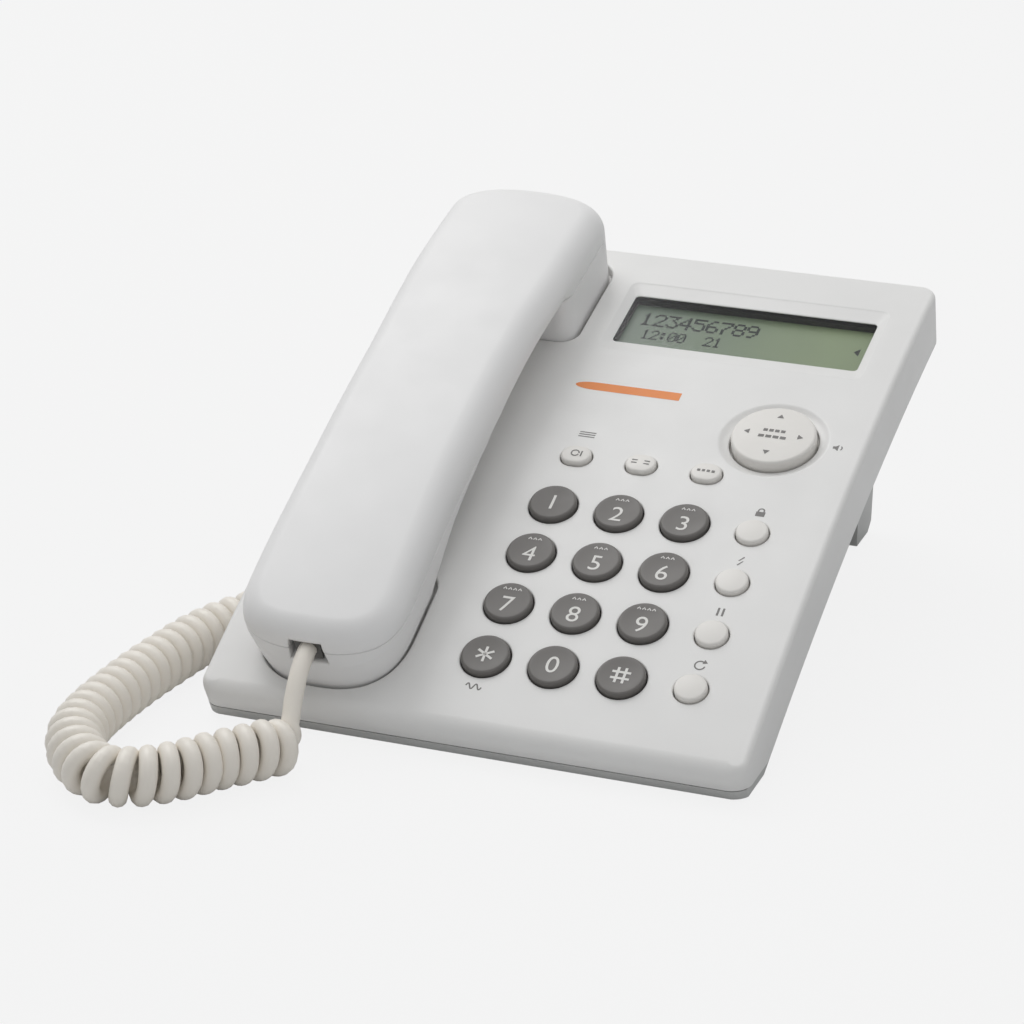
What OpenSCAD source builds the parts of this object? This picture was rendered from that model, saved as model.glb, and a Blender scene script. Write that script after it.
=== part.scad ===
// Corded desk telephone with a display, built as its separate pieces.
// Millimetres. The table is z = 0, the user sits at -Y, and the origin lies
// under the middle of the telephone without its cord.

/* [Housing] */
// Width of the housing
base_w = 153.5; // [145:0.5:175]
// Thickness of the housing, measured square to its arched top
base_t = 18; // [17.5:0.5:24]
// Length of the arched top from its front datum to its back edge
panel_len = 196; // [194:1:215]
// Radius of the arched top, seen from the side
panel_r = 814; // [700:2:1200]
// Slope of the arched top at its front datum, in degrees
panel_tilt = 28; // [24:0.5:32]
// Height of the arched top above the table at its front datum
front_h = 12.3; // [12:0.1:16]
// How far the top runs on in front of its datum
lip_len = 5; // [3:0.5:8]
// Radius of the rounded front lip
lip_r = 5; // [2:0.5:5]
// Rounding of the other upper edges
edge_r = 1.6; // [0.5:0.1:2.2]
// Radius of the four upright corners
corner_r = 5.4; // [5.2:0.1:8]
// Wall of the upper cover
cover_wall = 2.4; // [1.6:0.1:2.8]
// Floor of the lower cover
floor_wall = 2.2; // [1.4:0.1:2.6]
// Depth of the lower cover's visible rim at the front
front_rim = 2.8; // [1.5:0.1:4]
// Step from the upper cover's sides in to the lower cover's rim
rim_inset = 0.6; // [0.2:0.1:1.2]

/* [Stand] */
// Width of the rear stand
stand_w = 114.5; // [90:0.5:130]
// Depth of the stand's leg from front to back
leg_t = 17; // [13:0.5:22]
// How far the stand's back face stands out behind the housing's lower back edge
stand_out = 4.17; // [2:0.1:8]
// Wall of the stand
stand_wall = 2.5; // [1.8:0.1:3.5]
// Height of the rubber feet under the housing
foot_h = 1; // [0.8:0.1:2]
// Diameter of the rubber feet
foot_d = 9; // [6:0.5:10]

/* [Keys] */
// Distance between neighbouring digit keys
key_pitch = 19.05; // [18.6:0.05:20.5]
// Diameter of a digit key
key_d = 13.3; // [12:0.1:16]
// Height of a digit key above the panel
key_h = 1.6; // [1.2:0.1:4]
// Middle of the left digit column, from the middle of the housing
key_x = -1.9; // [-3:0.1:3]
// Middle of the lowest digit row, along the panel from its datum
key_s = 20.4; // [16:0.1:24]
// Diameter of the round keys in the right column
round_key_d = 8.9; // [8:0.1:12]
// Distance from the last digit column to the round keys
round_key_step = 19.2; // [17:0.1:22]
// Length of the oval keys above the digit keys
oval_key_w = 8.7; // [8:0.1:12]
// Height of the oval keys, measured along the panel
oval_key_l = 7; // [6:0.1:9]
// Height of the round and oval keys above the panel
small_key_h = 1.3; // [1:0.1:3]
// Travel of a key
key_travel = 1.5; // [1:0.1:2]
// Gap around a key in its hole
key_gap = 0.35; // [0.25:0.05:0.6]

/* [Navigator] */
// Diameter of the four-way key
nav_d = 24; // [20:0.5:26]
// Diameter of the dish around the four-way key
nav_dish_d = 31; // [28:0.5:34]
// Height of the four-way key above the panel
nav_h = 1.8; // [1.2:0.1:3]
// Middle of the four-way key, from the middle of the housing
nav_x = 50.4; // [46:0.1:54]
// Middle of the four-way key, along the panel from its datum
nav_s = 115.6; // [112:0.1:120]

/* [Display] */
// Width of the display window
window_w = 72.8; // [60:0.1:76]
// Length of the display window along the panel
window_l = 22.6; // [16:0.1:24]
// Middle of the window, from the middle of the housing
window_x = 27.3; // [24:0.1:30]
// How far the window sits in front of the middle between the four-way key's dish and the back edge
window_shift = 0.35; // [0:0.05:2]
// Depth of the sunk frame around the window
bezel_depth = 1.3; // [0.6:0.1:1.6]
// Width of the sunk frame above and below the window
bezel_l = 5.4; // [3:0.1:6]
// Width of the sunk frame at the sides of the window
bezel_w = 2.8; // [1.5:0.1:4]
// Thickness of the clear lens
lens_t = 1.4; // [1:0.1:2]
// Thickness of the display glass
glass_t = 2.6; // [1.5:0.1:3]

/* [Handset] */
// Width of the handset
handset_w = 48.6; // [44:0.2:52]
// Length of the handset
handset_len = 187.4; // [180:0.2:190]
// Start of the handset, along the panel from its datum
handset_front = 3.2; // [2.6:0.1:5]
// Middle of the handset, from the middle of the housing
handset_x = -44.5; // [-46:0.1:-42]
// Height of the handset's back above the panel at its middle
handset_h = 25; // [22:0.2:32]
// Height of the grip's underside above the panel at its middle
grip_h = 10.4; // [9:0.2:12]
// Length of the earpiece cup
ear_len = 43.2; // [38:0.2:48]
// Width of the mouthpiece cup where it meets the panel
mouth_w = 40; // [34:0.2:44]
// Length of the mouthpiece cup where it meets the panel
mouth_len = 43; // [36:0.5:50]
// How deep the two cups sit in the panel
cradle_depth = 3; // [2:0.1:4]
// Gap between the cups and the walls of their recesses
cradle_gap = 1; // [0.6:0.1:1.6]
// Gap under a cup that rests in its recess
seat_gap = 0.3; // [0.2:0.05:0.5]
// Wall of the handset's two shells
shell_wall = 2.2; // [1.6:0.1:2.8]
// Lift of the handset
lift = 60; // [40:1:90]
// Stroke of the hook switch
hook_travel = 4; // [2:0.1:6]

/* [Cord] */
// Outer diameter of the curly part of the cord
coil_d = 16; // [12:0.5:18]
// Diameter of the cord itself
cord_d = 5; // [3:0.1:6]

/* [Hidden] */
$fn = 48;
big_fn = 720;
far = 400;
eps = 0.01;

// Colours
shell_white = [0.87, 0.87, 0.86];
under_grey = [0.62, 0.62, 0.61];
key_grey = [0.40, 0.39, 0.38];
cord_cream = [0.83, 0.80, 0.75];
board_green = [0.10, 0.33, 0.18];
dark = [0.12, 0.12, 0.13];
metal = [0.72, 0.72, 0.70];

// The arched top is an arc about this point of the side view.
arc_y = panel_r * sin(panel_tilt);
arc_z = front_h - panel_r * cos(panel_tilt);

// Slope of the panel at a place s along it, and the point h above it in the side view.
function tilt(s) = panel_tilt - s * 180 / (PI * panel_r);
function pan(s, h = 0) = [arc_y - (panel_r + h) * sin(tilt(s)), arc_z + (panel_r + h) * cos(tilt(s))];
// How far the panel falls below its tangent plane at a distance d from where they touch.
function sag(d) = panel_r - sqrt(panel_r * panel_r - d * d);

// The housing reaches from the front of its lip to the back of the stand.
lip_centre = pan(lip_r - lip_len, -lip_r);
front_y = lip_centre[0] - lip_r;
stand_back = pan(panel_len, -base_t)[0] + stand_out;
shift_y = -(front_y + stand_back) / 2;

module in_place() translate([0, shift_y, 0]) children();
module on_panel(x, s, h = 0) translate([x, pan(s, h)[0], pan(s, h)[1]]) rotate([tilt(s), 0, 0]) children();
// A side view outline made solid across the width w.
module across(w) rotate([90, 0, 90]) translate([0, 0, -w / 2]) linear_extrude(w) children();

module arc_disc(h) translate([arc_y, arc_z]) circle(panel_r + h, $fn = big_fn);
module arc_sector(s0, s1) polygon([[arc_y, arc_z], pan(s0, 60), pan(s1, 60)]);
module slab(s0, s1, h0, h1) intersection() {
    difference() {
        arc_disc(h1);
        arc_disc(h0);
    }
    arc_sector(s0, s1);
}
module above(z) translate([-far, z]) square([3 * far, far]);

module round_rect(w, l, r) {
    square([w - 2 * r, l], center = true);
    square([w, l - 2 * r], center = true);
    for (x = [-1, 1], y = [-1, 1]) translate([x * (w / 2 - r), y * (l / 2 - r)]) circle(r);
}
module block(w, l, h, r = 1) linear_extrude(h) round_rect(w, l, r);
module slot2d(w, l) {
    square([w - l, l], center = true);
    for (x = [-1, 1]) translate([x * (w - l) / 2, 0]) circle(d = l);
}

// ---------- housing ----------
side_rim = 1.4;
inner_w = base_w - 2 * cover_wall;
floor_top = floor_wall - base_t;
board_h = -9.8;
board_t = 1.6;
boss_d = 7;
boss_bore = 2.4;
screw_head_d = 5.4;
screw_head_h = 1.8;
boss_x = base_w / 2 - cover_wall - boss_d / 2 - 1;
front_boss_s = 31;
side_boss_s = 54;
ear_boss_gap = 7.4;
rear_boss_in = 11;
boss_places = [[-boss_x, side_boss_s], [boss_x, front_boss_s],
               [-boss_x, handset_front + handset_len - ear_len - ear_boss_gap],
               [boss_x, panel_len - rear_boss_in]];

module housing_side() intersection() {
    slab(-lip_len, panel_len, -base_t, 0);
    above(foot_h);
}
module upper_side() intersection() {
    slab(-lip_len, panel_len, side_rim - base_t, 0);
    above(foot_h + front_rim);
}
// The rounding cutters stand out by a hair, so that they cross the faces instead of just touching them.
hair = 0.03;
module corner_cutters(r) for (side = [-1, 1], end = [-1, 1])
    on_panel(side * (base_w / 2 - r + hair), (end > 0 ? panel_len - r : r - lip_len) + end * hair, -base_t - 8)
        difference() {
            translate([side * (r + 2) / 2, end * (r + 2) / 2, (base_t + 16) / 2])
                cube([r + 2, r + 2, base_t + 16], center = true);
            cylinder(r = r, h = base_t + 17);
        }
module side_edge_cutters() for (side = [0, 1]) mirror([side, 0, 0])
    translate([0, arc_y, arc_z]) rotate([0, 90, 0]) rotate_extrude($fn = big_fn)
        translate([panel_r - edge_r + hair, base_w / 2 - edge_r + hair]) difference() {
            square(edge_r + 1);
            circle(edge_r);
        }
module end_edge_cutter(s, end, r) on_panel(0, s) translate([0, end * (hair - r), hair - r]) difference() {
    translate([0, end * (r + 1) / 2, (r + 1) / 2]) cube([base_w + 4, r + 1, r + 1], center = true);
    rotate([0, 90, 0]) cylinder(r = r, h = base_w + 6, center = true);
}
module rounded_off() difference() {
    difference() {
        difference() {
            children();
            corner_cutters(corner_r);
        }
        side_edge_cutters();
    }
    end_edge_cutter(-lip_len, -1, lip_r);
    end_edge_cutter(panel_len, 1, edge_r);
}

// ---------- the cradle for the handset ----------
handset_s = handset_front + handset_len / 2;
half_len = handset_len / 2;
grip_back = half_len - ear_len;
mouth_back = mouth_len - half_len;
ear_s = handset_front + handset_len - ear_len / 2;
mouth_s = handset_front + mouth_len / 2;
plan_r = 10;
nose_plan_r = 34;
pocket_wall = 1.8;
ear_floor = -cradle_depth - seat_gap;
hook_x = handset_x + 9;
hook_s = ear_s - 3;
hook_w = 6;
hook_l = 4;
hook_box_w = 12;
hook_box_l = 9;

// The handset's own frame touches the panel under its middle.
module on_handset(h = 0) on_panel(handset_x, handset_s, h) children();
module upright(h0, h1) translate([0, 0, h0]) linear_extrude(h1 - h0) children();

module handset_plan(inset) intersection() {
    round_rect(handset_w - 2 * inset, handset_len - 2 * inset, plan_r - inset);
    union() {
        translate([0, nose_plan_r - half_len]) circle(nose_plan_r - inset, $fn = 180);
        translate([-far / 2, nose_plan_r - half_len]) square(far);
    }
}
// The handset seen from above; its sides draw in between the two cups.
waist = 2;
waist_front = 11;
waist_reach = (grip_back + half_len - waist_front) / 2;
waist_y = (grip_back - half_len + waist_front) / 2 - 0.5;
waist_r = (pow(waist_reach, 2) + pow(waist, 2)) / (2 * waist);
module waisted_plan(inset) difference() {
    handset_plan(inset);
    for (side = [-1, 1]) translate([side * (handset_w / 2 + waist_r - waist), waist_y])
        circle(waist_r + inset, $fn = big_fn);
}
module ear_outline(grow) intersection() {
    handset_plan(-grow);
    translate([-far / 2, grip_back - grow]) square(far);
}
module mouth_outline(grow) intersection() {
    handset_plan(-grow);
    translate([-mouth_w / 2 - 1 - grow, -half_len - 20])
        square([mouth_w + 2 + 2 * grow, 20 + mouth_len + grow]);
}
// Both cups' outlines grown by a margin, between two depths under the panel.
module cradle(grow, top, bottom) for (cup = [0, 1]) intersection() {
    on_handset() upright(-20, 12) {
        if (cup == 0) ear_outline(grow);
        else mouth_outline(grow);
    }
    translate([handset_x, 0, 0]) across(handset_w + 20) difference() {
        arc_disc(top);
        arc_disc(bottom);
    }
}

// ---------- keys ----------
digit_names = [["key_star", "key_0", "key_hash"], ["key_7", "key_8", "key_9"],
               ["key_4", "key_5", "key_6"], ["key_1", "key_2", "key_3"]];
oval_names = ["oval_key_left", "oval_key_middle", "oval_key_right"];
round_names = ["round_key_d", "round_key_c", "round_key_b", "round_key_a"];
flange_gap = 0.3;
flange_t = 1.2;
flange_w = 1.3;
stem_l = 1;
key_depth = cover_wall + flange_gap + flange_t + stem_l;
oval_s = key_s + 4.06 * key_pitch;
round_x = key_x + 2 * key_pitch + round_key_step;

module digit_places() for (row = [0:3], col = [0:2])
    on_panel(key_x + col * key_pitch, key_s + row * key_pitch) children();
module round_places() for (row = [0:3]) on_panel(round_x, key_s + row * key_pitch) children();
module oval_places() for (col = [0:2]) on_panel(key_x + col * key_pitch, oval_s) children();

module key_shape(outline_d, cap_h) {
    translate([0, 0, -cover_wall - flange_gap - eps])
        cylinder(d = outline_d, h = cap_h + cover_wall + flange_gap + eps);
    translate([0, 0, -cover_wall - flange_gap - flange_t]) cylinder(d = outline_d + 2 * flange_w, h = flange_t);
    translate([0, 0, -key_depth]) cylinder(d = outline_d * 0.6, h = stem_l + eps);
}
// The cap's top is slightly hollow, as a fingertip finds it.
dish_r = 40;
dish_depth = 0.4;
module digit_key() color(key_grey) difference() {
    key_shape(key_d, key_h);
    translate([0, 0, key_h - dish_depth + dish_r]) sphere(dish_r, $fn = 180);
}
module round_key() color(shell_white) key_shape(round_key_d, small_key_h);
module oval_key() color(shell_white) {
    translate([0, 0, -cover_wall - flange_gap - eps])
        linear_extrude(small_key_h + cover_wall + flange_gap + eps) slot2d(oval_key_w, oval_key_l);
    translate([0, 0, -cover_wall - flange_gap - flange_t])
        linear_extrude(flange_t) slot2d(oval_key_w + 2 * flange_w, oval_key_l + 2 * flange_w);
    translate([0, 0, -key_depth]) cylinder(d = oval_key_l * 0.6, h = stem_l + eps);
}

// ---------- four-way key ----------
nav_rim_t = 1.6;
nav_flange_gap = 1.2;
nav_flange_t = 1;
nav_bottom = -cover_wall - nav_flange_gap - nav_flange_t;
nav_pivot_h = nav_bottom - 1.6;
nav_roof = nav_h - 2;
nav_ear_t = 1.8;
nav_dish_depth = 1.2;
nav_tilt_max = 3;
pin_d = 1.6;
pin_gap = 0.15;
gimbal_w = 10;
module on_nav() on_panel(nav_x, nav_s) children();

module nav_key() color(shell_white) on_nav() {
    difference() {
        translate([0, 0, nav_bottom]) cylinder(d = nav_d, h = nav_h - nav_bottom);
        translate([0, 0, nav_bottom - 1]) cylinder(d = nav_d - 2 * nav_rim_t - 4, h = nav_roof - nav_bottom + 1);
    }
    translate([0, 0, nav_bottom]) difference() {
        cylinder(d = nav_d + 2 * flange_w, h = nav_flange_t);
        translate([0, 0, -1]) cylinder(d = nav_d - 2 * nav_rim_t, h = nav_flange_t + 2);
    }
    // Two ears with bores take the gimbal's pins.
    for (y = [-1, 1]) translate([0, y * (gimbal_w / 2 + 1.3), 0]) difference() {
        translate([-1.8, -nav_ear_t / 2, nav_pivot_h - 1.5])
            cube([3.6, nav_ear_t, nav_roof + 0.5 - nav_pivot_h + 1.5]);
        translate([0, 0, nav_pivot_h]) rotate([90, 0, 0]) cylinder(d = pin_d + 2 * pin_gap, h = 4, center = true);
    }
}
module nav_gimbal() color(dark) on_nav() translate([0, 0, nav_pivot_h]) {
    translate([-gimbal_w / 2, -gimbal_w / 2, -1]) cube([gimbal_w, gimbal_w, 2]);
    rotate([90, 0, 0]) cylinder(d = pin_d, h = gimbal_w + 4.4, center = true);
    rotate([0, 90, 0]) cylinder(d = pin_d, h = gimbal_w + 4.4, center = true);
}
module nav_posts() on_nav() for (x = [-1, 1]) translate([x * (gimbal_w / 2 + 1.3), 0, 0]) difference() {
    translate([-0.9, -2, floor_top]) cube([1.8, 4, nav_pivot_h + 1.6 - floor_top]);
    translate([0, 0, nav_pivot_h]) rotate([0, 90, 0]) cylinder(d = pin_d + 2 * pin_gap, h = 4, center = true);
}

// ---------- display ----------
lens_top = -bezel_depth;
lens_edge = 1.6;
glass_drop = 1.6;
glass_top = lens_top - lens_t - glass_drop;
holder_wall = 1.4;
glass_w = window_w + 4;
glass_l = window_l + 4;
lcd_board_t = 1.2;
window_s = (nav_s + nav_dish_d / 2 + panel_len) / 2 - window_shift;
module on_window() on_panel(window_x, window_s) children();

module lcd_lens() color([0.75, 0.80, 0.78, 0.5]) on_window() translate([0, 0, lens_top - lens_t])
    block(window_w + 2 * lens_edge - 0.3, window_l + 2 * lens_edge - 0.3, lens_t, 0.8);
module lcd_glass() color([0.50, 0.58, 0.48]) on_window() translate([0, 0, glass_top - glass_t])
    block(glass_w, glass_l, glass_t, 0.5);
module lcd_holder() color(dark) on_window() difference() {
    translate([0, 0, glass_top - glass_t]) block(glass_w + 2 * holder_wall, glass_l + 2 * holder_wall,
        glass_t + glass_drop, 1);
    translate([0, 0, glass_top - glass_t - 1]) block(glass_w + 0.1, glass_l + 0.1, glass_t + 1, 0.5);
    translate([0, 0, glass_top - 1]) block(window_w, window_l, glass_drop + 2, 0.5);
}
module lcd_board() color(board_green) on_window() translate([0, 0, glass_top - glass_t - lcd_board_t])
    block(glass_w + 2 * holder_wall, glass_l + 2 * holder_wall, lcd_board_t, 1);

// ---------- boards ----------
board_s = 60;
board_front = 9;
board_back = 104.5;
board_left = key_x - 11;
board_right = base_w / 2 - cover_wall - 2.5;
nav_board_back = nav_s + 15;
mat_t = 1.2;
standoff_d = 5;
standoff_bore = 1.8;
standoffs = [[board_left + 3.5, board_front + 3.5], [board_right - 3.5, board_front + 3.5],
             [board_left + 3.5, board_back - 3.5], [board_right - 3.5, board_back - 1]];
module on_board(h) on_panel(0, board_s, h) translate([0, -board_s, 0]) children();
module board_outline() {
    translate([board_left, board_front]) square([board_right - board_left, board_back - board_front]);
    translate([nav_x - 13, board_back - 2]) square([board_right - nav_x + 13, nav_board_back - board_back + 2]);
}
// Depth of the board's plane under the panel at a place s.
function board_depth(s) = -board_h - sag(abs(s - board_s));
module main_board() color(board_green) on_board(board_h - board_t) linear_extrude(board_t) difference() {
    board_outline();
    for (p = standoffs) translate(p) circle(d = standoff_bore + 0.6);
    for (p = boss_places) if (p[0] > 0) translate(p) circle(d = boss_d + 2);
    translate([nav_x, nav_s]) square([gimbal_w + 8, gimbal_w + 8], center = true);
}
module pad(d, s) {
    rise = board_depth(s) - mat_t - key_depth - key_travel - 0.4;
    translate([0, 0, -board_depth(s) + mat_t / 2]) cylinder(d = d, h = mat_t / 2 + max(rise, 0.1));
}
module keypad_rubber() color([0.55, 0.56, 0.58]) {
    on_board(board_h) linear_extrude(mat_t) difference() {
        translate([board_left + 7, board_front + 1.5])
            square([round_x - board_left + 1, oval_s - board_front + 4]);
        for (p = standoffs) translate(p) circle(d = standoff_d + 3);
        for (p = boss_places) if (p[0] > 0) translate(p) circle(d = boss_d + 3);
    }
    for (row = [0:3]) {
        for (col = [0:2]) on_panel(key_x + col * key_pitch, key_s + row * key_pitch)
            pad(9, key_s + row * key_pitch);
        on_panel(round_x, key_s + row * key_pitch) pad(6, key_s + row * key_pitch);
    }
    for (col = [0:2]) on_panel(key_x + col * key_pitch, oval_s) pad(5, oval_s);
}

// ---------- batteries ----------
cell_d = 10.5;
cell_l = 44.5;
cell_gap = 0.4;
cells = 3;
contact_t = 0.6;
bay_x = -8;
bay_s = 124.5;
bay_w = cell_l + 2 * contact_t + 0.4;
bay_l = cells * (cell_d + cell_gap) + 0.8;
bay_top = -4.1;
bay_wall = 1.2;
lid_t = 1.6;
lid_lip = 3;
cell_h = -base_t + lid_t + 0.3 + cell_d / 2;
module on_bay() on_panel(bay_x, bay_s) children();

module batteries() color([0.25, 0.33, 0.40]) on_bay() for (i = [0:cells - 1])
    translate([-cell_l / 2, (i - (cells - 1) / 2) * (cell_d + cell_gap), cell_h]) rotate([0, 90, 0]) {
        cylinder(d = cell_d, h = cell_l - 1);
        cylinder(d = 3.8, h = cell_l);
    }
module battery_contacts() color(metal) on_bay() for (x = [-1, 1])
    translate([x * (cell_l + contact_t) / 2, 0, cell_h]) cube([contact_t, bay_l - 3, 8], center = true);
module battery_cover() color(under_grey) on_bay() translate([0, 0, -base_t]) {
    block(bay_w + 2 * lid_lip - 0.6, bay_l + 2 * lid_lip - 0.6, lid_t, 2);
    for (y = [-1, 1]) translate([0, y * (bay_l / 2 - 1.2), lid_t - eps]) block(8, 1.4, 1.2, 0.4);
}

// ---------- sockets, speaker, hook switch ----------
jack_w = 11.5;
jack_h = 8.6;
jack_l = 14;
jack_wall = 2;
jack_hole_w = 7.9;
jack_hole_h = 6.3;
line_hole_w = 10;
jack_mid = floor_top + jack_h / 2 + 0.1;
line_x = 10;
plug_l = 12;
plug_w = 7.5;
plug_h = 5.9;
// The handset's socket lies this far inside its nose, where the plug ends level with the nose.
socket_in = 5;
plug_out = socket_in - 0.1;
// The handset's cord plugs in inside a well in the underside.
well_side = 15.75;
well_x = well_side - base_w / 2;
well_s = 71;
well_w = 13;
well_l = 22;
well_wall = 1.4;
well_top = floor_top + 9.2;

// A socket block whose mouth looks along its own +X.
module socket(hole_w) difference() {
    translate([-jack_l, -hole_w / 2 - 1.8, -jack_h / 2]) cube([jack_l, hole_w + 3.6, jack_h]);
    translate([jack_wall - jack_l, -hole_w / 2, -jack_hole_h / 2]) cube([jack_l, hole_w, jack_hole_h]);
}
module socket_mouth(hole_w, l) translate([-1, -hole_w / 2 - 0.3, -jack_hole_h / 2 - 0.3])
    cube([l + 1, hole_w + 0.6, jack_hole_h + 0.6]);
module on_well() on_panel(well_x, well_s) children();
module on_jack() on_panel(well_x, well_s, jack_mid) translate([0, well_l / 2 + well_wall, 0])
    rotate([0, 0, -90]) children();
module on_line_jack() on_panel(line_x, panel_len, jack_mid) translate([0, -cover_wall - 0.2, 0])
    rotate([0, 0, 90]) children();
module handset_jack() color(dark) on_jack() socket(jack_hole_w);
module line_jack() color(dark) on_line_jack() socket(line_hole_w);

speaker_d = 30;
speaker_t = 7;
speaker_rim_t = 2.4;
speaker_hole_d = 2.6;
speaker_hole_step = 6;
speaker_x = -36;
speaker_s = 90;
module on_speaker() on_panel(speaker_x, speaker_s, floor_top + 0.05) children();
module ringer_speaker() color(dark) on_speaker() {
    cylinder(d = speaker_d, h = speaker_rim_t);
    cylinder(d = speaker_d * 0.62, h = speaker_t);
}
module speaker_holes() on_panel(speaker_x, speaker_s, -base_t - 1) {
    cylinder(d = speaker_hole_d, h = floor_wall + 2);
    for (a = [0:60:359]) rotate(a) translate([speaker_hole_step, 0, 0])
        cylinder(d = speaker_hole_d, h = floor_wall + 2);
}

module on_hook() on_panel(hook_x, hook_s) children();
plunger_bottom = floor_top + 2.2;
plunger_flange = 1.2;
module hook_plunger() color(shell_white) on_hook() translate([0, 0, plunger_bottom]) {
    block(hook_w, hook_l, ear_floor - plunger_bottom, 1);
    block(hook_w + 2, hook_l + 2, plunger_flange, 1);
}
module hook_housing() color(dark) on_hook() difference() {
    translate([0, 0, floor_top]) block(hook_box_w, hook_box_l, ear_floor - pocket_wall - floor_top - 0.4, 1);
    translate([0, 0, floor_top + 1.6]) block(hook_w + 2.6, hook_l + 2.6, far, 1);
}

// ---------- covers ----------
module upper_cover() color(shell_white) difference() {
    union() {
        rounded_off() difference() {
            across(base_w) upper_side();
            across(inner_w) slab(cover_wall - lip_len, panel_len - cover_wall, -base_t - 20, -cover_wall);
        }
        cradle(cradle_gap + pocket_wall, -cover_wall / 2, ear_floor - pocket_wall);
        for (p = boss_places) on_panel(p[0], p[1], floor_top + 0.1)
            cylinder(d = boss_d, h = -floor_top - cover_wall / 2);
    }
    cradle(cradle_gap, 5, ear_floor);
    on_hook() translate([0, 0, -12]) block(hook_w + 0.8, hook_l + 0.8, 20, 1.2);
    for (p = boss_places) on_panel(p[0], p[1], floor_top - 1) cylinder(d = boss_bore, h = 10);
    digit_places() key_hole(key_d);
    round_places() key_hole(round_key_d);
    oval_places() translate([0, 0, -cover_wall - 2])
        linear_extrude(cover_wall + 6) slot2d(oval_key_w + 2 * key_gap, oval_key_l + 2 * key_gap);
    on_nav() {
        translate([0, 0, -cover_wall - 2]) cylinder(d = nav_d + 4 * key_gap, h = cover_wall + 6);
        translate([0, 0, -nav_dish_depth]) cylinder(d1 = nav_d + 3, d2 = nav_dish_d, h = nav_dish_depth + 0.1);
    }
    window_cut();
    on_line_jack() socket_mouth(line_hole_w, cover_wall + 2);
}
module key_hole(d) translate([0, 0, -cover_wall - 2]) cylinder(d = d + 2 * key_gap, h = cover_wall + 6);
module window_cut() on_window() {
    // The sunk frame slopes down to the lens from all four sides.
    intersection() {
        sloped(window_w, bezel_w, 2 * window_l);
        rotate([0, 0, 90]) sloped(window_l, bezel_l, 2 * window_w);
    }
    translate([0, 0, -cover_wall - 4]) linear_extrude(cover_wall + 8) square([window_w, window_l], center = true);
    translate([0, 0, -cover_wall - 4])
        linear_extrude(cover_wall + 4 - bezel_depth)
            square([window_w + 2 * lens_edge, window_l + 2 * lens_edge], center = true);
}
// A channel along Y whose two sides lean out by the given width over the frame's depth.
module sloped(w, out, l) {
    rise = bezel_depth + 2;
    run = rise * (out - 0.5) / (bezel_depth + 0.2);
    translate([0, l / 2, -bezel_depth]) rotate([90, 0, 0]) linear_extrude(l)
        polygon([[-w / 2 - 0.5, 0], [w / 2 + 0.5, 0], [w / 2 + 0.5 + run, rise], [-w / 2 - 0.5 - run, rise]]);
}

module lower_cover() color(under_grey) difference() {
    union() {
        difference() {
            across(base_w - 2 * rim_inset) difference() {
                housing_side();
                upper_side();
            }
            corner_cutters(corner_r);
        }
        across(inner_w - 0.6) intersection() {
            slab(cover_wall + 0.3 - lip_len, panel_len - cover_wall - 0.3, -base_t, floor_top);
            above(foot_h);
        }
        // Bay for the cells, let into the floor.
        on_bay() translate([0, 0, -base_t + 0.5]) block(bay_w + 2 * bay_wall, bay_l + 2 * bay_wall,
            base_t - 0.5 + bay_top, 1.5);
        for (p = boss_places) on_panel(p[0], p[1], -base_t + 0.4) cylinder(d = boss_d, h = floor_wall - 0.4);
        for (p = standoffs) on_board(floor_top - 2) translate([p[0], p[1], 0])
            cylinder(d = standoff_d, h = board_h - board_t - floor_top + 2);
        nav_posts();
        on_well() translate([0, 0, -base_t + 0.5]) block(well_w + 2 * well_wall, well_l + 2 * well_wall,
            base_t - 0.5 + well_top, 1);
    }
    on_well() translate([0, 0, -base_t - 1]) block(well_w, well_l, base_t + 1 + well_top - well_wall, 1);
    on_jack() socket_mouth(jack_hole_w, well_wall + 1);
    speaker_holes();
    on_bay() {
        translate([0, 0, -base_t - 1]) block(bay_w, bay_l, base_t + 1 + bay_top - bay_wall, 1);
        translate([0, 0, -base_t - 1]) block(bay_w + 2 * lid_lip, bay_l + 2 * lid_lip, 1 + lid_t + 0.2, 2);
    }
    for (p = boss_places) on_panel(p[0], p[1], -base_t - 1) {
        cylinder(d = boss_bore + 0.8, h = 8);
        cylinder(d = screw_head_d + 0.6, h = 1 + screw_head_h);
    }
    for (p = standoffs) on_board(board_h - board_t - 4) translate([p[0], p[1], 0])
        cylinder(d = standoff_bore, h = 6);
    stand_slots();
    for (x = [-1, 1]) translate([x * front_foot_x, front_foot_y, 0])
        cylinder(d = foot_d + 0.4, h = foot_h + foot_sunk);
}

// ---------- stand ----------
foot_sunk = 0.8;
front_foot_x = base_w / 2 - 15;
front_foot_y = 7;
leg_front = stand_back - leg_t;
leg_top = pan(panel_len, -base_t)[1] + 25;
plate_t = 3;
plate_s0 = panel_len - 46;
stand_gap = 0.3;
plate_top = -base_t - stand_gap;
tab_x = 48;
tab_front_s = panel_len - 40;
tab_back_s = panel_len - 18;
tab_places = [[-tab_x, tab_front_s], [tab_x, tab_front_s], [-tab_x, tab_back_s], [tab_x, tab_back_s]];
tab_w = 8;
tab_neck = 3;

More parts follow.
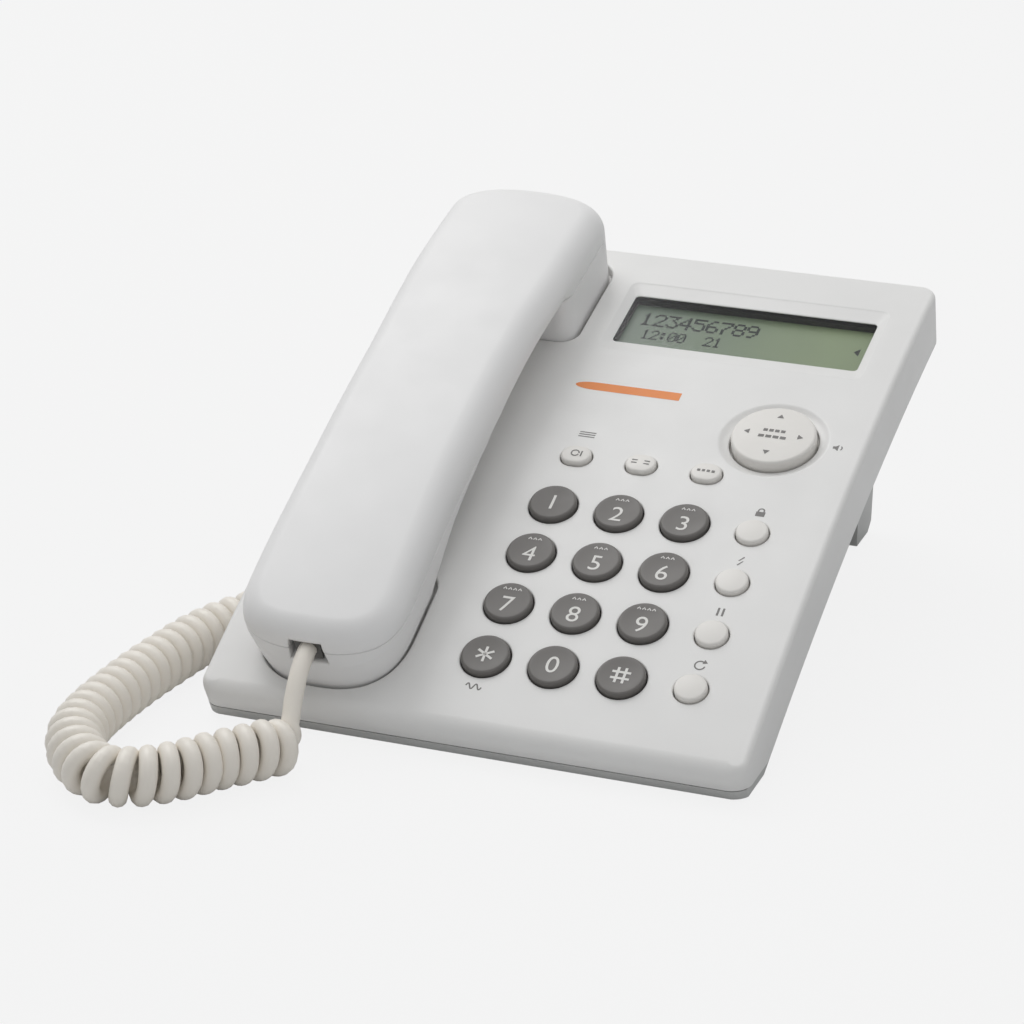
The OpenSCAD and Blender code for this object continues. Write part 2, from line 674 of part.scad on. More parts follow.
module stand_leg() intersection() {
    polygon([[leg_front, foot_h], [stand_back - 5, foot_h], [stand_back - 1.4, foot_h + 2.6],
             [stand_back, 20], [stand_back - stand_out - 1, leg_top], [leg_front, leg_top]]);
    arc_disc(plate_top);
}
module desk_stand() color(under_grey) difference() {
    union() {
        across(stand_w) stand_leg();
        across(stand_w) intersection() {
            slab(plate_s0, panel_len - 4, plate_top - plate_t, plate_top);
            above(0);
        }
        for (p = tab_places) on_panel(p[0], p[1], plate_top - 0.5) translate([-tab_w / 2, -1.5, 0])
            cube([tab_w, tab_neck, stand_gap + 0.5 + floor_wall + 0.2]);
    }
    // The leg is hollow and open to the front.
    across(stand_w - 2 * stand_wall) intersection() {
        polygon([[leg_front - 1, foot_h + stand_wall], [stand_back - 5.5, foot_h + stand_wall],
                 [stand_back - stand_wall - 1, foot_h + stand_wall + 3], [stand_back - stand_wall, 20],
                 [stand_back - stand_out - 1 - stand_wall, leg_top], [leg_front - 1, leg_top]]);
        arc_disc(plate_top - plate_t);
    }
    for (x = [-1, 1]) translate([x * rear_foot_x, rear_foot_y, 0])
        cylinder(d = foot_d + 0.4, h = foot_h + foot_sunk);
}
rear_foot_x = stand_w / 2 - 9;
rear_foot_y = leg_front + 6;
module stand_slots() for (p = tab_places) on_panel(p[0], p[1], -base_t - 1)
    translate([-tab_w / 2 - 0.4, -1.5 - 0.4, 0]) cube([tab_w + 0.8, tab_neck + 0.8, floor_wall + 2]);

module feet(x, y) color([0.35, 0.35, 0.35]) for (side = [-1, 1]) translate([side * x, y, 0])
    cylinder(d = foot_d, h = foot_h + foot_sunk - 0.05);

// ---------- screws ----------
module screw(head_d, head_h, d, l) {
    difference() {
        cylinder(d = head_d, h = head_h);
        translate([-head_d * 0.35, -0.4, -1]) cube([head_d * 0.7, 0.8, 1.8]);
        translate([-0.4, -head_d * 0.35, -1]) cube([0.8, head_d * 0.7, 1.8]);
    }
    cylinder(d = d, h = l);
}
module cover_screws() color(metal) for (p = boss_places) on_panel(p[0], p[1], -base_t + 0.1)
    screw(screw_head_d, screw_head_h - 0.2, boss_bore, 8);
module board_screws() color(metal) for (p = standoffs) on_board(board_h + 1.2) translate([p[0], p[1], 0])
    mirror([0, 0, 1]) screw(4, 1.2, standoff_bore, 5);

// ---------- handset ----------
back_r = 560;
crown_r = 144;
shoulder_r = 6;
apex_y = 8;
nose_r = 7;
part_h = 13.4;

// The back: a crowned section with round shoulders, swept along a long arc.
module handset_back(inset) translate([0, apex_y, handset_h - back_r]) rotate([0, 90, 0])
    rotate_extrude($fn = big_fn) intersection() {
        translate([back_r - crown_r, 0]) circle(crown_r - inset, $fn = 360);
        translate([back_r - 30 - inset, 0])
            round_rect(60, handset_w - 2 * inset, shoulder_r - min(inset, shoulder_r - 2));
    }
// Height of the back's arc over the handset's ends.
function end_top(e) = handset_h - back_r + sqrt(pow(back_r, 2) - pow(e * half_len - apex_y, 2));
module handset_ends(inset) across(handset_w + 2) {
    translate([inset + nose_r - half_len, -40]) square([handset_len - 2 * inset - 2 * nose_r, 90]);
    for (e = [-1, 1]) {
        translate([e * (half_len - inset - nose_r), end_top(e) - nose_r - inset]) circle(nose_r);
        translate([e * (half_len - inset - nose_r) - nose_r, -40])
            square([2 * nose_r, 40 + end_top(e) - nose_r - inset]);
    }
}
// The two shells part along an arc that runs level with the panel.
module handset_arc(h) translate([0, -panel_r]) circle(panel_r + h, $fn = big_fn);
module handset_outer(inset) intersection() {
    intersection() {
        handset_back(inset);
        upright(-30, 30) waisted_plan(inset);
    }
    handset_ends(inset);
}
handset_screw_places = [-28, 36];
handset_boss_d = 6;
handset_screw_d = 2.2;
handset_screw_l = 8;
handset_screw_head_d = 5;
handset_screw_head_h = 1.6;
module handset_top() color(shell_white) difference() {
    union() {
        difference() {
            on_handset() handset_outer(0);
            on_handset() handset_outer(shell_wall);
        }
        for (p = handset_screw_places) on_handset() translate([0, p, 0])
            cylinder(d = handset_boss_d, h = handset_h - shell_wall - 0.2);
    }
    on_handset() across(handset_w + 4) intersection() {
        handset_arc(part_h);
        translate([-far / 2, -far / 2]) square(far);
    }
    for (p = handset_screw_places) on_handset() translate([0, p, 0])
        cylinder(d = handset_screw_d, h = part_h + 6);
    on_handset() jack_notch();
}

grip_slope = 9;
taper_h = 9;
module handset_side() difference() {
    handset_arc(part_h);
    handset_arc(-cradle_depth);
    polygon([[mouth_back, -20], [mouth_back, grip_h - 6], [mouth_back + grip_slope, grip_h],
             [grip_back, grip_h], [grip_back, -20]]);
}
// Wedges taken off the sides of the mouthpiece, which narrows towards the panel.
module mouth_taper() for (side = [0, 1]) mirror([side, 0, 0]) rotate([90, 0, 0])
    translate([0, 0, -mouth_back - 20]) linear_extrude(half_len + mouth_back + 40)
        polygon([[mouth_w / 2, -14], [mouth_w / 2, -cradle_depth - 4], [handset_w / 2, taper_h],
                 [handset_w, taper_h], [handset_w, -14]]);
module handset_bottom() color(shell_white) difference() {
    union() {
        difference() {
            intersection() {
                on_handset() upright(-14, 24) waisted_plan(0);
                on_handset() across(handset_w + 6) handset_side();
            }
            on_handset() intersection() {
                mouth_taper();
                translate([-far / 2, -half_len - 10, -20]) cube([far, mouth_len + 11, 60]);
            }
            bottom_hollows();
        }
        // The bosses end just under those of the other shell.
        for (p = handset_screw_places) on_handset(grip_h + 0.4) translate([0, p, 0])
            cylinder(d = handset_boss_d, h = part_h - sag(abs(p) + handset_boss_d / 2) - 0.1 - grip_h - 0.4);
        on_handset() translate([-jack_w / 2 - 1.2, 2 - half_len, -6.2])
            cube([jack_w + 2.4, jack_l + 1, 6.1 + socket_h - jack_h / 2]);
    }
    on_handset() jack_notch();
    sound_holes();
    for (p = handset_screw_places) on_handset(grip_h - 1) translate([0, p, 0]) {
        cylinder(d = handset_screw_d + 0.6, h = 8);
        cylinder(d = handset_screw_head_d + 0.4, h = handset_screw_head_h + 1.1);
    }
}
grip_hole_w = 38;
module bottom_hollows() {
    for (cup = [0, 1]) difference() {
        on_handset() upright(-14, 40) {
            if (cup == 0) ear_outline(-shell_wall);
            else mouth_outline(-shell_wall);
        }
        on_handset() across(handset_w + 20) handset_arc(shell_wall - cradle_depth);
    }
    on_handset(grip_h + shell_wall) translate([-grip_hole_w / 2, mouth_back - 6, 0])
        cube([grip_hole_w, grip_back - mouth_back + 12, 20]);
}
module sound_holes() {
    for (a = [0:60:359]) on_panel(handset_x, ear_s, -10) rotate(a) translate([6, 0, 0])
        cylinder(d = 2.4, h = 14);
    on_panel(handset_x, ear_s, -10) cylinder(d = 2.4, h = 14);
    for (x = [-1, 0, 1]) on_panel(handset_x + x * 5, mic_s, -10) cylinder(d = 2.2, h = 14);
}
// The cord's opening at the mouthpiece end, half in each shell.
socket_h = end_top(-1) - shell_wall - jack_h / 2 - 1.7;
notch_w = jack_hole_w + 1.6;
module jack_notch() translate([-notch_w / 2, -half_len - 3, socket_h - jack_hole_h / 2 - 0.6])
    cube([notch_w, 3 + socket_in, jack_hole_h + 1.2]);
module on_socket() on_handset(socket_h) translate([0, socket_in - half_len, 0]) rotate([0, 0, -90]) children();
module handset_socket() color(dark) on_socket() socket(jack_hole_w);

receiver_d = 30;
receiver_t = 9;
cup_floor = shell_wall - cradle_depth + 0.2;
module receiver_seal() color(dark) on_panel(handset_x, ear_s, cup_floor) difference() {
    cylinder(d = receiver_d + 2, h = 1.2);
    translate([0, 0, -1]) cylinder(d = receiver_d - 6, h = 4);
}
module receiver() color([0.30, 0.31, 0.33]) on_panel(handset_x, ear_s, cup_floor + 1.2) {
    cylinder(d = receiver_d, h = 3);
    cylinder(d = receiver_d * 0.6, h = receiver_t);
}
mic_s = mouth_s + 6;
mic_d = 9.7;
mic_t = 5;
module mic_boot() color(dark) on_panel(handset_x, mic_s, cup_floor) difference() {
    cylinder(d = mic_d + 4.3, h = mic_t + 0.6);
    translate([0, 0, 1]) cylinder(d = mic_d + 0.2, h = mic_t + 3);
    translate([0, 0, -1]) cylinder(d = 4, h = 4);
}
module microphone() color(metal) on_panel(handset_x, mic_s, cup_floor + 1) cylinder(d = mic_d, h = mic_t);
weight_l = 40;
weight_t = 8;
weight_y = 4;
module handset_weight() color([0.45, 0.45, 0.47]) on_handset(grip_h + shell_wall)
    translate([0, weight_y, 0]) block(grip_hole_w - 6, weight_l, weight_t, 2);
module handset_screws() color(metal) for (p = handset_screw_places) on_handset(grip_h + 0.1)
    translate([0, p, 0]) screw(handset_screw_head_d, handset_screw_head_h, handset_screw_d, handset_screw_l);

// ---------- cord ----------
// Places that the cord runs through, from the front datum; the curly part lies on the table.
coil_z = coil_d / 2 + 0.1;
coil_route = [[-44, -15], [-49, -27], [-55, -38], [-62, -48], [-71, -55], [-80, -56], [-89, -49], [-95, -39],
              [-97, -28], [-97, -15], [-96, 0], [-94, 15], [-92, 27], [-88, 39], [-82, 49], [-75, 56]];
tail_handset_route = [[-44.5, -2.45, 25.6], [-44.5, -6, 24], [-44.5, -10, 21.5], [-44.5, -14, 18],
                      [-44.5, -17.5, 13.5]];
tail_base_route = [[-76, 55, 8], [-69, 61, 9.5], [-64, 64, 13], [-61.5, 66, 19], [well_x, 68.5, 25],
                   [well_x, 72, 31], [well_x, 77.5, 35.5]];

function unit(v) = v / norm(v);
// A ring of n points about a place, square to the direction d; side is a direction that d never takes.
function ring(p, d, r, n, side) = let (u = unit(cross(d, side)), v = cross(unit(d), u))
    [for (i = [0:n - 1]) p + r * (cos(360 * i / n) * u + sin(360 * i / n) * v)];
function heading(route, i) = route[min(i + 1, len(route) - 1)] - route[max(i - 1, 0)];
module tube(route, d, n, side) {
    rings = [for (i = [0:len(route) - 1]) ring(route[i], heading(route, i), d / 2, n, side)];
    last = len(route) - 1;
    polyhedron(
        points = [for (r = rings) each r],
        faces = concat(
            [[for (i = [0:n - 1]) i]],
            [for (k = [0:last - 1], i = [0:n - 1]) [k * n + (i + 1) % n, k * n + i, (k + 1) * n + i]],
            [for (k = [0:last - 1], i = [0:n - 1])
                [k * n + (i + 1) % n, (k + 1) * n + i, (k + 1) * n + (i + 1) % n]],
            [[for (i = [n - 1:-1:0]) last * n + i]]
        )
    );
}
module cord_coil() color(cord_cream) tube([for (p = coil_route) [p[0], p[1], coil_z]], coil_d, 12, [0, 0, 1]);
module cord_tail_handset() color(cord_cream) tube(tail_handset_route, cord_d, 8, [1, 0, 0]);
module cord_tail_base() color(cord_cream) tube(tail_base_route, cord_d, 8, [1, 0, 0]);
module plug() translate([-plug_l, -plug_w / 2, -plug_h / 2]) cube([plug_l + plug_out, plug_w, plug_h]);
module plug_handset() color([0.8, 0.8, 0.78]) on_socket() plug();
module plug_base() color([0.8, 0.8, 0.78]) on_jack() plug();

// ---------- all pieces ----------
in_place() {
    upper_cover();
    lower_cover();
    desk_stand();
    battery_cover();
    batteries();
    battery_contacts();
    lcd_lens();
    lcd_glass();
    lcd_holder();
    lcd_board();
    main_board();
    keypad_rubber();
    hook_housing();
    hook_plunger();
    handset_jack();
    line_jack();
    ringer_speaker();
    feet(front_foot_x, front_foot_y);  // front_feet
    feet(rear_foot_x, rear_foot_y);  // rear_feet
    cover_screws();
    board_screws();
    for (row = [0:3]) {
        for (col = [0:2]) on_panel(key_x + col * key_pitch, key_s + row * key_pitch) digit_key();
        on_panel(round_x, key_s + row * key_pitch) round_key();
    }
    for (col = [0:2]) on_panel(key_x + col * key_pitch, oval_s) oval_key();
    nav_gimbal();
    nav_key();
    handset_top();
    handset_bottom();
    receiver();
    receiver_seal();
    microphone();
    mic_boot();
    handset_weight();
    handset_socket();
    handset_screws();
    plug_handset();
    plug_base();
    cord_tail_handset();
    cord_coil();
    cord_tail_base();
}
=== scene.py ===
import math

import bmesh
import bpy
import numpy as np
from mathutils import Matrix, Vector
from mathutils.geometry import delaunay_2d_cdt


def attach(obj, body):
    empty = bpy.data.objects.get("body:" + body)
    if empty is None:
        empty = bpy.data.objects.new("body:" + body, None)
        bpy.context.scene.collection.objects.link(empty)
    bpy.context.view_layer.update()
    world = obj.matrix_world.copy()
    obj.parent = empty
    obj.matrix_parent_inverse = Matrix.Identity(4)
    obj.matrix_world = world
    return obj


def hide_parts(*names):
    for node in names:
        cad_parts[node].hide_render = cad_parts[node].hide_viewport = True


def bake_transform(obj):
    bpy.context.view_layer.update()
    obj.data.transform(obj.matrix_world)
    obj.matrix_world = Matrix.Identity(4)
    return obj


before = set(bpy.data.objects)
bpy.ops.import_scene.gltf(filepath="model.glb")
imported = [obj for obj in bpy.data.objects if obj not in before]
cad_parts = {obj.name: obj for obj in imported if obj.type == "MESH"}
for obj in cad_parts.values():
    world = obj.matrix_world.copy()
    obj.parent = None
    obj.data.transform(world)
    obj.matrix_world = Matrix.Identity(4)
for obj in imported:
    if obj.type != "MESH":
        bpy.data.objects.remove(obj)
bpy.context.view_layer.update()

# ---------- sizes shared with the CAD, in millimetres ----------
MM = 0.001
BASE_W, BASE_T = 153.5, 18.0
PANEL_LEN, PANEL_R, PANEL_TILT, FRONT_H = 196.0, 814.0, math.radians(28), 12.3
LIP_LEN, LIP_R, EDGE_R, CORNER_R = 5.0, 5.0, 1.6, 5.4
COVER_WALL, SIDE_RIM, FOOT_H, FRONT_RIM = 2.4, 1.4, 1.0, 2.8
STAND_OUT = 4.17
KEY_PITCH, KEY_D, KEY_H, KEY_X, KEY_S = 19.05, 13.3, 1.6, -1.9, 20.4
ROUND_D, ROUND_X, OVAL_W, OVAL_L, SMALL_H = 8.9, 55.4, 8.7, 7.0, 1.3
OVAL_S = KEY_S + 4.06 * KEY_PITCH
KEY_GAP = 0.35
CAP_FLANGE, CAP_FLANGE_T, CAP_ROOM, NAV_ROOM = 1.3, 1.2, 0.3, 1.2
KEY_RIM, SMALL_RIM, NAV_RIM = 0.8, 0.7, 0.9
KEY_HOLLOW, ROUND_CROWN, OVAL_CROWN, NAV_CROWN = 0.4, 0.25, 0.2, 0.35
PRINT_LIFT = 0.05
NAV_D, NAV_DISH_D, NAV_H, NAV_X, NAV_S = 24.0, 31.0, 1.8, 50.4, 115.6
WINDOW_W, WINDOW_L, WINDOW_X, WINDOW_S = 72.8, 22.6, 27.3, 163.2
BEZEL_DEPTH, BEZEL_L, BEZEL_W = 1.3, 5.4, 2.8
HANDSET_W, HANDSET_LEN, HANDSET_FRONT, HANDSET_X, HANDSET_H = 48.6, 187.4, 3.2, -44.5, 25.0
HANDSET_S = HANDSET_FRONT + HANDSET_LEN / 2
EAR_LEN, MOUTH_LEN = 43.2, 43.0
CRADLE_DEPTH, CRADLE_GAP, SEAT_GAP = 3.0, 1.0, 0.3
PART_H, PART_HALF_GAP = 13.4, 0.28

arc_y = PANEL_R * math.sin(PANEL_TILT)
arc_z = FRONT_H - PANEL_R * math.cos(PANEL_TILT)
lip_y = arc_y - (PANEL_R - LIP_R) * math.sin(PANEL_TILT - (LIP_R - LIP_LEN) / PANEL_R) - LIP_R
stand_back = arc_y - (PANEL_R - BASE_T) * math.sin(PANEL_TILT - PANEL_LEN / PANEL_R) + STAND_OUT
shift_y = -(lip_y + stand_back) / 2


def on_panel(points):
    """Places x, s along the arched top and h above it as metres in the shared frame."""
    p = np.asarray(points, float).reshape(-1, 3)
    t = PANEL_TILT - p[:, 1] / PANEL_R
    r = PANEL_R + p[:, 2]
    return np.column_stack([p[:, 0], arc_y - r * np.sin(t) + shift_y, arc_z + r * np.cos(t)]) * MM


def turned(points, normals):
    """Directions given along x, s and h at those places, in the shared frame."""
    p = np.asarray(points, float).reshape(-1, 3)
    n = np.asarray(normals, float).reshape(-1, 3)
    t = PANEL_TILT - p[:, 1] / PANEL_R
    return np.column_stack(
        [n[:, 0], n[:, 1] * np.cos(t) - n[:, 2] * np.sin(t), n[:, 1] * np.sin(t) + n[:, 2] * np.cos(t)]
    )


# ---------- camera and light ----------
scene = bpy.context.scene
CAMERA_AT, CAMERA_TARGET, CAMERA_LENS = (0.31396, -0.89215, 0.42209), (-0.02795, 0.01259, 0.02557), 127.15
LAMPS = (  # name, place, target, diameter in metres, power in watts
    ("key_lamp", (-0.78, 0.5, 1.25), (0, 0, 0), 1.1, 8.4),
    ("top_lamp", (0.2, 0.2, 1.6), (0, 0, 0), 1.8, 6.4),
    ("fill_lamp", (0.2, -1.3, 1.1), (0, 0, 0.03), 1.2, 1.1),
)
BACKDROP = (0.921, 0.921, 0.921, 1)
SKY, SKY_STRENGTH = (0.96, 0.98, 1.0, 1), 0.38
FLOOR_GREY, FLOOR_EDGE, FLOOR_GLOW = (0.8, 0.8, 0.8, 1), 6, 0.93


def aimed(name, data, place, target):
    """A camera or lamp that looks from its place towards a target."""
    holder = bpy.data.objects.new(name, data)
    holder.location = place
    holder.rotation_euler = (Vector(target) - Vector(place)).to_track_quat("-Z", "Y").to_euler()
    scene.collection.objects.link(holder)
    return holder


def blank(owner):
    """The emptied shader tree of a world or material."""
    owner.use_nodes = True
    owner.node_tree.nodes.clear()
    return owner.node_tree


def add_node(tree, kind, inputs=None, operation=None):
    """A shader node whose inputs, by name or number, take values or other nodes' outputs; gives its outputs."""
    node = tree.nodes.new("ShaderNode" + kind)
    if operation:
        node.operation = operation
    for at, value in (inputs or {}).items():
        if isinstance(value, bpy.types.NodeSocket):
            tree.links.new(value, node.inputs[at])
        else:
            node.inputs[at].default_value = value
    return node.outputs


def add_camera():
    data = bpy.data.cameras.new("camera")
    data.lens = CAMERA_LENS
    data.sensor_width = 36
    data.clip_start = 0.01
    data.clip_end = 20
    scene.camera = aimed("camera", data, CAMERA_AT, CAMERA_TARGET)


def add_lamps():
    for name, place, target, size, power in LAMPS:
        data = bpy.data.lights.new(name, "AREA")
        data.shape = "DISK"
        data.size = size
        data.energy = power
        aimed(name, data, place, target)


def add_world():
    """Soft light from all round; the camera, glossy faces and clear ones see the backdrop's colour."""
    world = bpy.data.worlds.new("studio")
    scene.world = world
    tree = blank(world)
    ray = add_node(tree, "LightPath")
    sees = ray["Is Camera Ray"]
    for kind in ("Is Transmission Ray", "Is Glossy Ray"):
        sees = add_node(tree, "Math", {0: sees, 1: ray[kind]}, "MAXIMUM")[0]
    lit = add_node(tree, "Background", {"Color": SKY, "Strength": SKY_STRENGTH})[0]
    seen = add_node(tree, "Background", {"Color": BACKDROP})[0]
    add_node(tree, "OutputWorld", {"Surface": add_node(tree, "MixShader", {0: sees, 1: lit, 2: seen})[0]})


def add_floor():
    """A pale floor that shows the backdrop's colour to the camera and keeps the shadows."""
    data = bpy.data.meshes.new("floor")
    corners = [(x * FLOOR_EDGE, y * FLOOR_EDGE, 0) for x, y in ((-1, -1), (1, -1), (1, 1), (-1, 1))]
    data.from_pydata(corners, [], [(0, 1, 2, 3)])
    floor = bpy.data.objects.new("floor", data)
    scene.collection.objects.link(floor)
    material = bpy.data.materials.new("floor")
    tree = blank(material)
    lit = add_node(tree, "BsdfDiffuse", {"Color": FLOOR_GREY})[0]
    glow = add_node(tree, "Emission", {"Color": BACKDROP})[0]
    plain = add_node(tree, "MixShader", {"Fac": FLOOR_GLOW, 1: lit, 2: glow})[0]
    sees = add_node(tree, "LightPath")["Is Camera Ray"]
    add_node(tree, "OutputMaterial", {"Surface": add_node(tree, "MixShader", {0: sees, 1: lit, 2: plain})[0]})
    data.materials.append(material)


add_camera()
scene.view_settings.view_transform = "Standard"
add_lamps()
add_world()
add_floor()


# ---------- materials ----------
def principled(name):
    material = bpy.data.materials.new(name)
    material.use_nodes = True
    return material, material.node_tree, material.node_tree.nodes["Principled BSDF"].inputs


def noise(tree, scale, detail):
    place = add_node(tree, "TexCoord")["Object"]
    return add_node(tree, "TexNoise", {"Scale": scale, "Detail": detail, "Vector": place})["Fac"]


def relief(tree, scale, detail, strength, depth):
    """A fine bump, its depth in millimetres."""
    height = noise(tree, scale, detail)
    return add_node(tree, "Bump", {"Strength": strength, "Distance": depth * MM, "Height": height})[0]


def ramp(tree, source, stops):
    r = tree.nodes.new("ShaderNodeValToRGB")
    for element, (at, colour) in zip(r.color_ramp.elements, (stops[0], stops[-1])):
        element.position = at
        element.color = (*colour, 1)
    for at, colour in stops[1:-1]:
        r.color_ramp.elements.new(at).color = (*colour, 1)
    tree.links.new(source, r.inputs["Fac"])
    return r.outputs["Color"]


def linear(r, g, b):
    """A colour as it is seen on a screen, 0 to 255, as the linear one that a shader takes."""
    return tuple((c / 255 / 12.92) if c <= 10 else ((c / 255 + 0.055) / 1.055) ** 2.4 for c in (r, g, b))


def plastic(name, colour, rough=0.38, grain=2600, depth=0.012, shade=0.03):
    """Moulded plastic: faint clouds of colour, uneven gloss and a fine eroded grain."""
    material, tree, shader = principled(name)
    base = linear(*colour)
    low = tuple(c * (1 - shade) for c in base)
    high = tuple(min(c * (1 + shade * 0.6), 0.95) for c in base)
    tint = ramp(tree, noise(tree, 28, 4), [(0.3, low), (0.5, base), (0.7, high)])
    spread = {"From Min": 0.3, "From Max": 0.7, "To Min": rough - 0.05, "To Max": rough + 0.07}
    gloss = add_node(tree, "MapRange", {"Value": noise(tree, 90, 5), **spread})[0]
    tree.links.new(tint, shader["Base Color"])
    tree.links.new(gloss, shader["Roughness"])
    tree.links.new(relief(tree, grain, 2, 0.35, depth), shader["Normal"])
    shader["IOR"].default_value = 1.48
    return material


WHITE = plastic("white_plastic", (231, 230, 228))
HANDSET_WHITE = plastic("handset_plastic", (236, 235, 234), rough=0.4)
UNDER_GREY = plastic("grey_plastic", (196, 196, 194), rough=0.45)
KEY_GREY = plastic("key_plastic", (105, 102, 99), rough=0.45, depth=0.02, shade=0.05)
KEY_WHITE = plastic("white_key_plastic", (232, 229, 224), rough=0.4)
CORD_CREAM = plastic("cord_vinyl", (240, 234, 224), rough=0.36, grain=1800)
DARK = plastic("dark_plastic", (38, 38, 40), rough=0.5)
PRINT_LIGHT = plastic("pale_print", (228, 226, 222), rough=0.5)
PRINT_GREY = plastic("grey_print", (120, 118, 116), rough=0.55)
FIGURE_DARK = plastic("display_print", (26, 32, 32), rough=0.5)
PRINT_ORANGE = plastic("orange_print", (232, 138, 70), rough=0.5)

# ---------- mesh forms ----------
CREASE = math.radians(36)


def corner_normals(co, faces):
    """One normal for each face corner, smoothed by area over the faces that meet there at less than the crease."""
    face_n, face_a = [], []
    for f in faces:
        p = co[list(f)]
        n = np.zeros(3)
        for i in range(1, len(f) - 1):
            n += np.cross(p[i] - p[0], p[i + 1] - p[0])
        a = np.linalg.norm(n)
        face_a.append(a)
        face_n.append(n / a if a > 1e-20 else n)
    face_n, face_a = np.array(face_n), np.array(face_a)
    around = [[] for _ in range(len(co))]
    for k, f in enumerate(faces):
        for v in f:
            around[v].append(k)
    limit = math.cos(CREASE)
    out = []
    for k, f in enumerate(faces):
        for v in f:
            near = around[v]
            ns = face_n[near]
            use = ns @ face_n[k] > limit
            n = (ns[use] * face_a[near][use][:, None]).sum(0)
            size = np.linalg.norm(n)
            out.append(n / size if size > 1e-20 else face_n[k])
    return out


def add_mesh(name, co, faces, material, normals=None):
    """A mesh object from points in metres, with smooth shading that keeps its creases."""
    data = bpy.data.meshes.new(name)
    co = np.asarray(co, float)
    data.from_pydata(co.tolist(), [], [tuple(f) for f in faces])
    data.materials.append(material)
    data.polygons.foreach_set("use_smooth", [True] * len(data.polygons))
    data.update()
    data.normals_split_custom_set(corner_normals(co, faces) if normals is None else normals)
    piece = bpy.data.objects.new(name, data)
    scene.collection.objects.link(piece)
    return piece


def own(piece, body, node):
    """Makes a piece stand for a CAD node: it rides on the node's body, and the node is hidden."""
    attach(piece, body)
    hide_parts(node)


class Form:
    """Rings of points at x, s, h, and the faces between them."""

    def __init__(self):
        self.points, self.faces = [], []

    def ring(self, points):
        start = len(self.points)
        self.points += [tuple(float(c) for c in p) for p in points]
        return list(range(start, len(self.points)))

    def level(self, xy, h):
        """A ring at one height."""
        return self.ring(np.column_stack([xy, np.full(len(xy), h)]))

    def bridge(self, a, b):
        for i in range(len(a)):
            j = (i + 1) % len(a)
            self.faces.append((a[i], a[j], b[j], b[i]))

    def stack(self, outline, profile):
        """Rings of the outline at each (offset outwards, h) of the profile, bridged in turn."""
        at, out = outline
        rings = [self.level(at + out * offset, h) for offset, h in profile]
        for a, b in zip(rings, rings[1:]):
            self.bridge(a, b)
        return rings

    def cap(self, ring):
        self.faces.append(tuple(ring))

    def fill(self, outer, holes, step, down=False):
        """Fills between an outer ring and the holes' rings with triangles over a loose grid of points."""
        loops = [outer, *holes]
        pts = np.array(self.points)
        flat = [pts[loop][:, :2] for loop in loops]
        low, high = flat[0].min(0), flat[0].max(0)
        gx, gy = (np.linspace(low[k], high[k], max(2, int((high[k] - low[k]) / step)) + 1) for k in (0, 1))
        grid = np.array([(x, y) for y in gy[1:-1] for x in gx[1:-1]])
        keep = inside(grid, flat[0])
        for hole in flat[1:]:
            keep &= ~inside(grid, hole)
        for loop in flat:
            keep &= np.linalg.norm(grid[:, None] - loop[None], axis=2).min(1) > step * 0.3
        extra = self.level(grid[keep], pts[outer][:, 2].mean())
        ids = [i for loop in loops for i in loop] + extra
        where = {i: k for k, i in enumerate(ids)}
        edges = [(where[a], where[b]) for loop in loops for a, b in zip(loop, loop[1:] + loop[:1])]
        out = delaunay_2d_cdt([Vector(self.points[i][:2]) for i in ids], edges, [], 0, 1e-7)
        verts, faces, origin = out[0], out[2], out[3]
        back = [ids[o[0]] if o else None for o in origin]
        tri = np.array([[verts[i][:] for i in f] for f in faces])
        middle = tri.mean(1)
        keep = inside(middle, flat[0])
        for hole in flat[1:]:
            keep &= ~inside(middle, hole)
        for f, t, k in zip(faces, tri, keep):
            f = [back[i] for i in f]
            if k and None not in f:
                turn = np.cross(t[1] - t[0], t[2] - t[0])
                self.faces.append(tuple(f if (turn > 0) != down else f[::-1]))

    def piece(self, name, material, place=on_panel):
        return add_mesh(name, place(self.points), self.faces, material)


def inside(points, loop):
    """Which points lie inside a closed loop."""
    x, y = points[:, 0][:, None], points[:, 1][:, None]
    ax, ay = loop[:, 0][None], loop[:, 1][None]
    bx, by = np.roll(loop[:, 0], -1)[None], np.roll(loop[:, 1], -1)[None]
    straddle = (ay > y) != (by > y)
    with np.errstate(divide="ignore", invalid="ignore"):
        cross = ax + (y - ay) * (bx - ax) / (by - ay)
    return ((straddle & (x < cross)).sum(1) % 2) == 1


def circle(cx, cy, r, n=64):
    a = np.linspace(0, 2 * math.pi, n, endpoint=False)
    out = np.column_stack([np.cos(a), np.sin(a)])
    return out * r + (cx, cy), out


def rounded(cx, cy, w, l, r, n=10, step=4.0):
    """A rectangle with round corners, anticlockwise, and its outward directions."""
    corners = []
    for k, (sx, sy) in enumerate(((1, 1), (-1, 1), (-1, -1), (1, -1))):
        a = math.pi / 2 * k + np.linspace(0, math.pi / 2, n + 1)
        d = np.column_stack([np.cos(a), np.sin(a)])
        corners.append((d * r + (cx + sx * (w / 2 - r), cy + sy * (l / 2 - r)), d))
    at, out = [], []
    for (arc_at, arc_out), (next_at, next_out) in zip(corners, corners[1:] + corners[:1]):
        last, side = arc_at[-1], next_at[0] - arc_at[-1]
        m = int(np.linalg.norm(side) / step)
        at += [*arc_at, *(last + side * i / m for i in range(1, m))]
        out += [*arc_out, *[next_out[0]] * (m - 1)]
    return np.array(at), np.array(out)


def fillet(r, start, end, n=5, offset=0.0, h=0.0):
    """Points of an arc of radius r about (offset, h), from one angle to another, in degrees."""
    a = np.radians(np.linspace(start, end, n + 1))
    return [(offset + r * math.cos(t), h + r * math.sin(t)) for t in a]


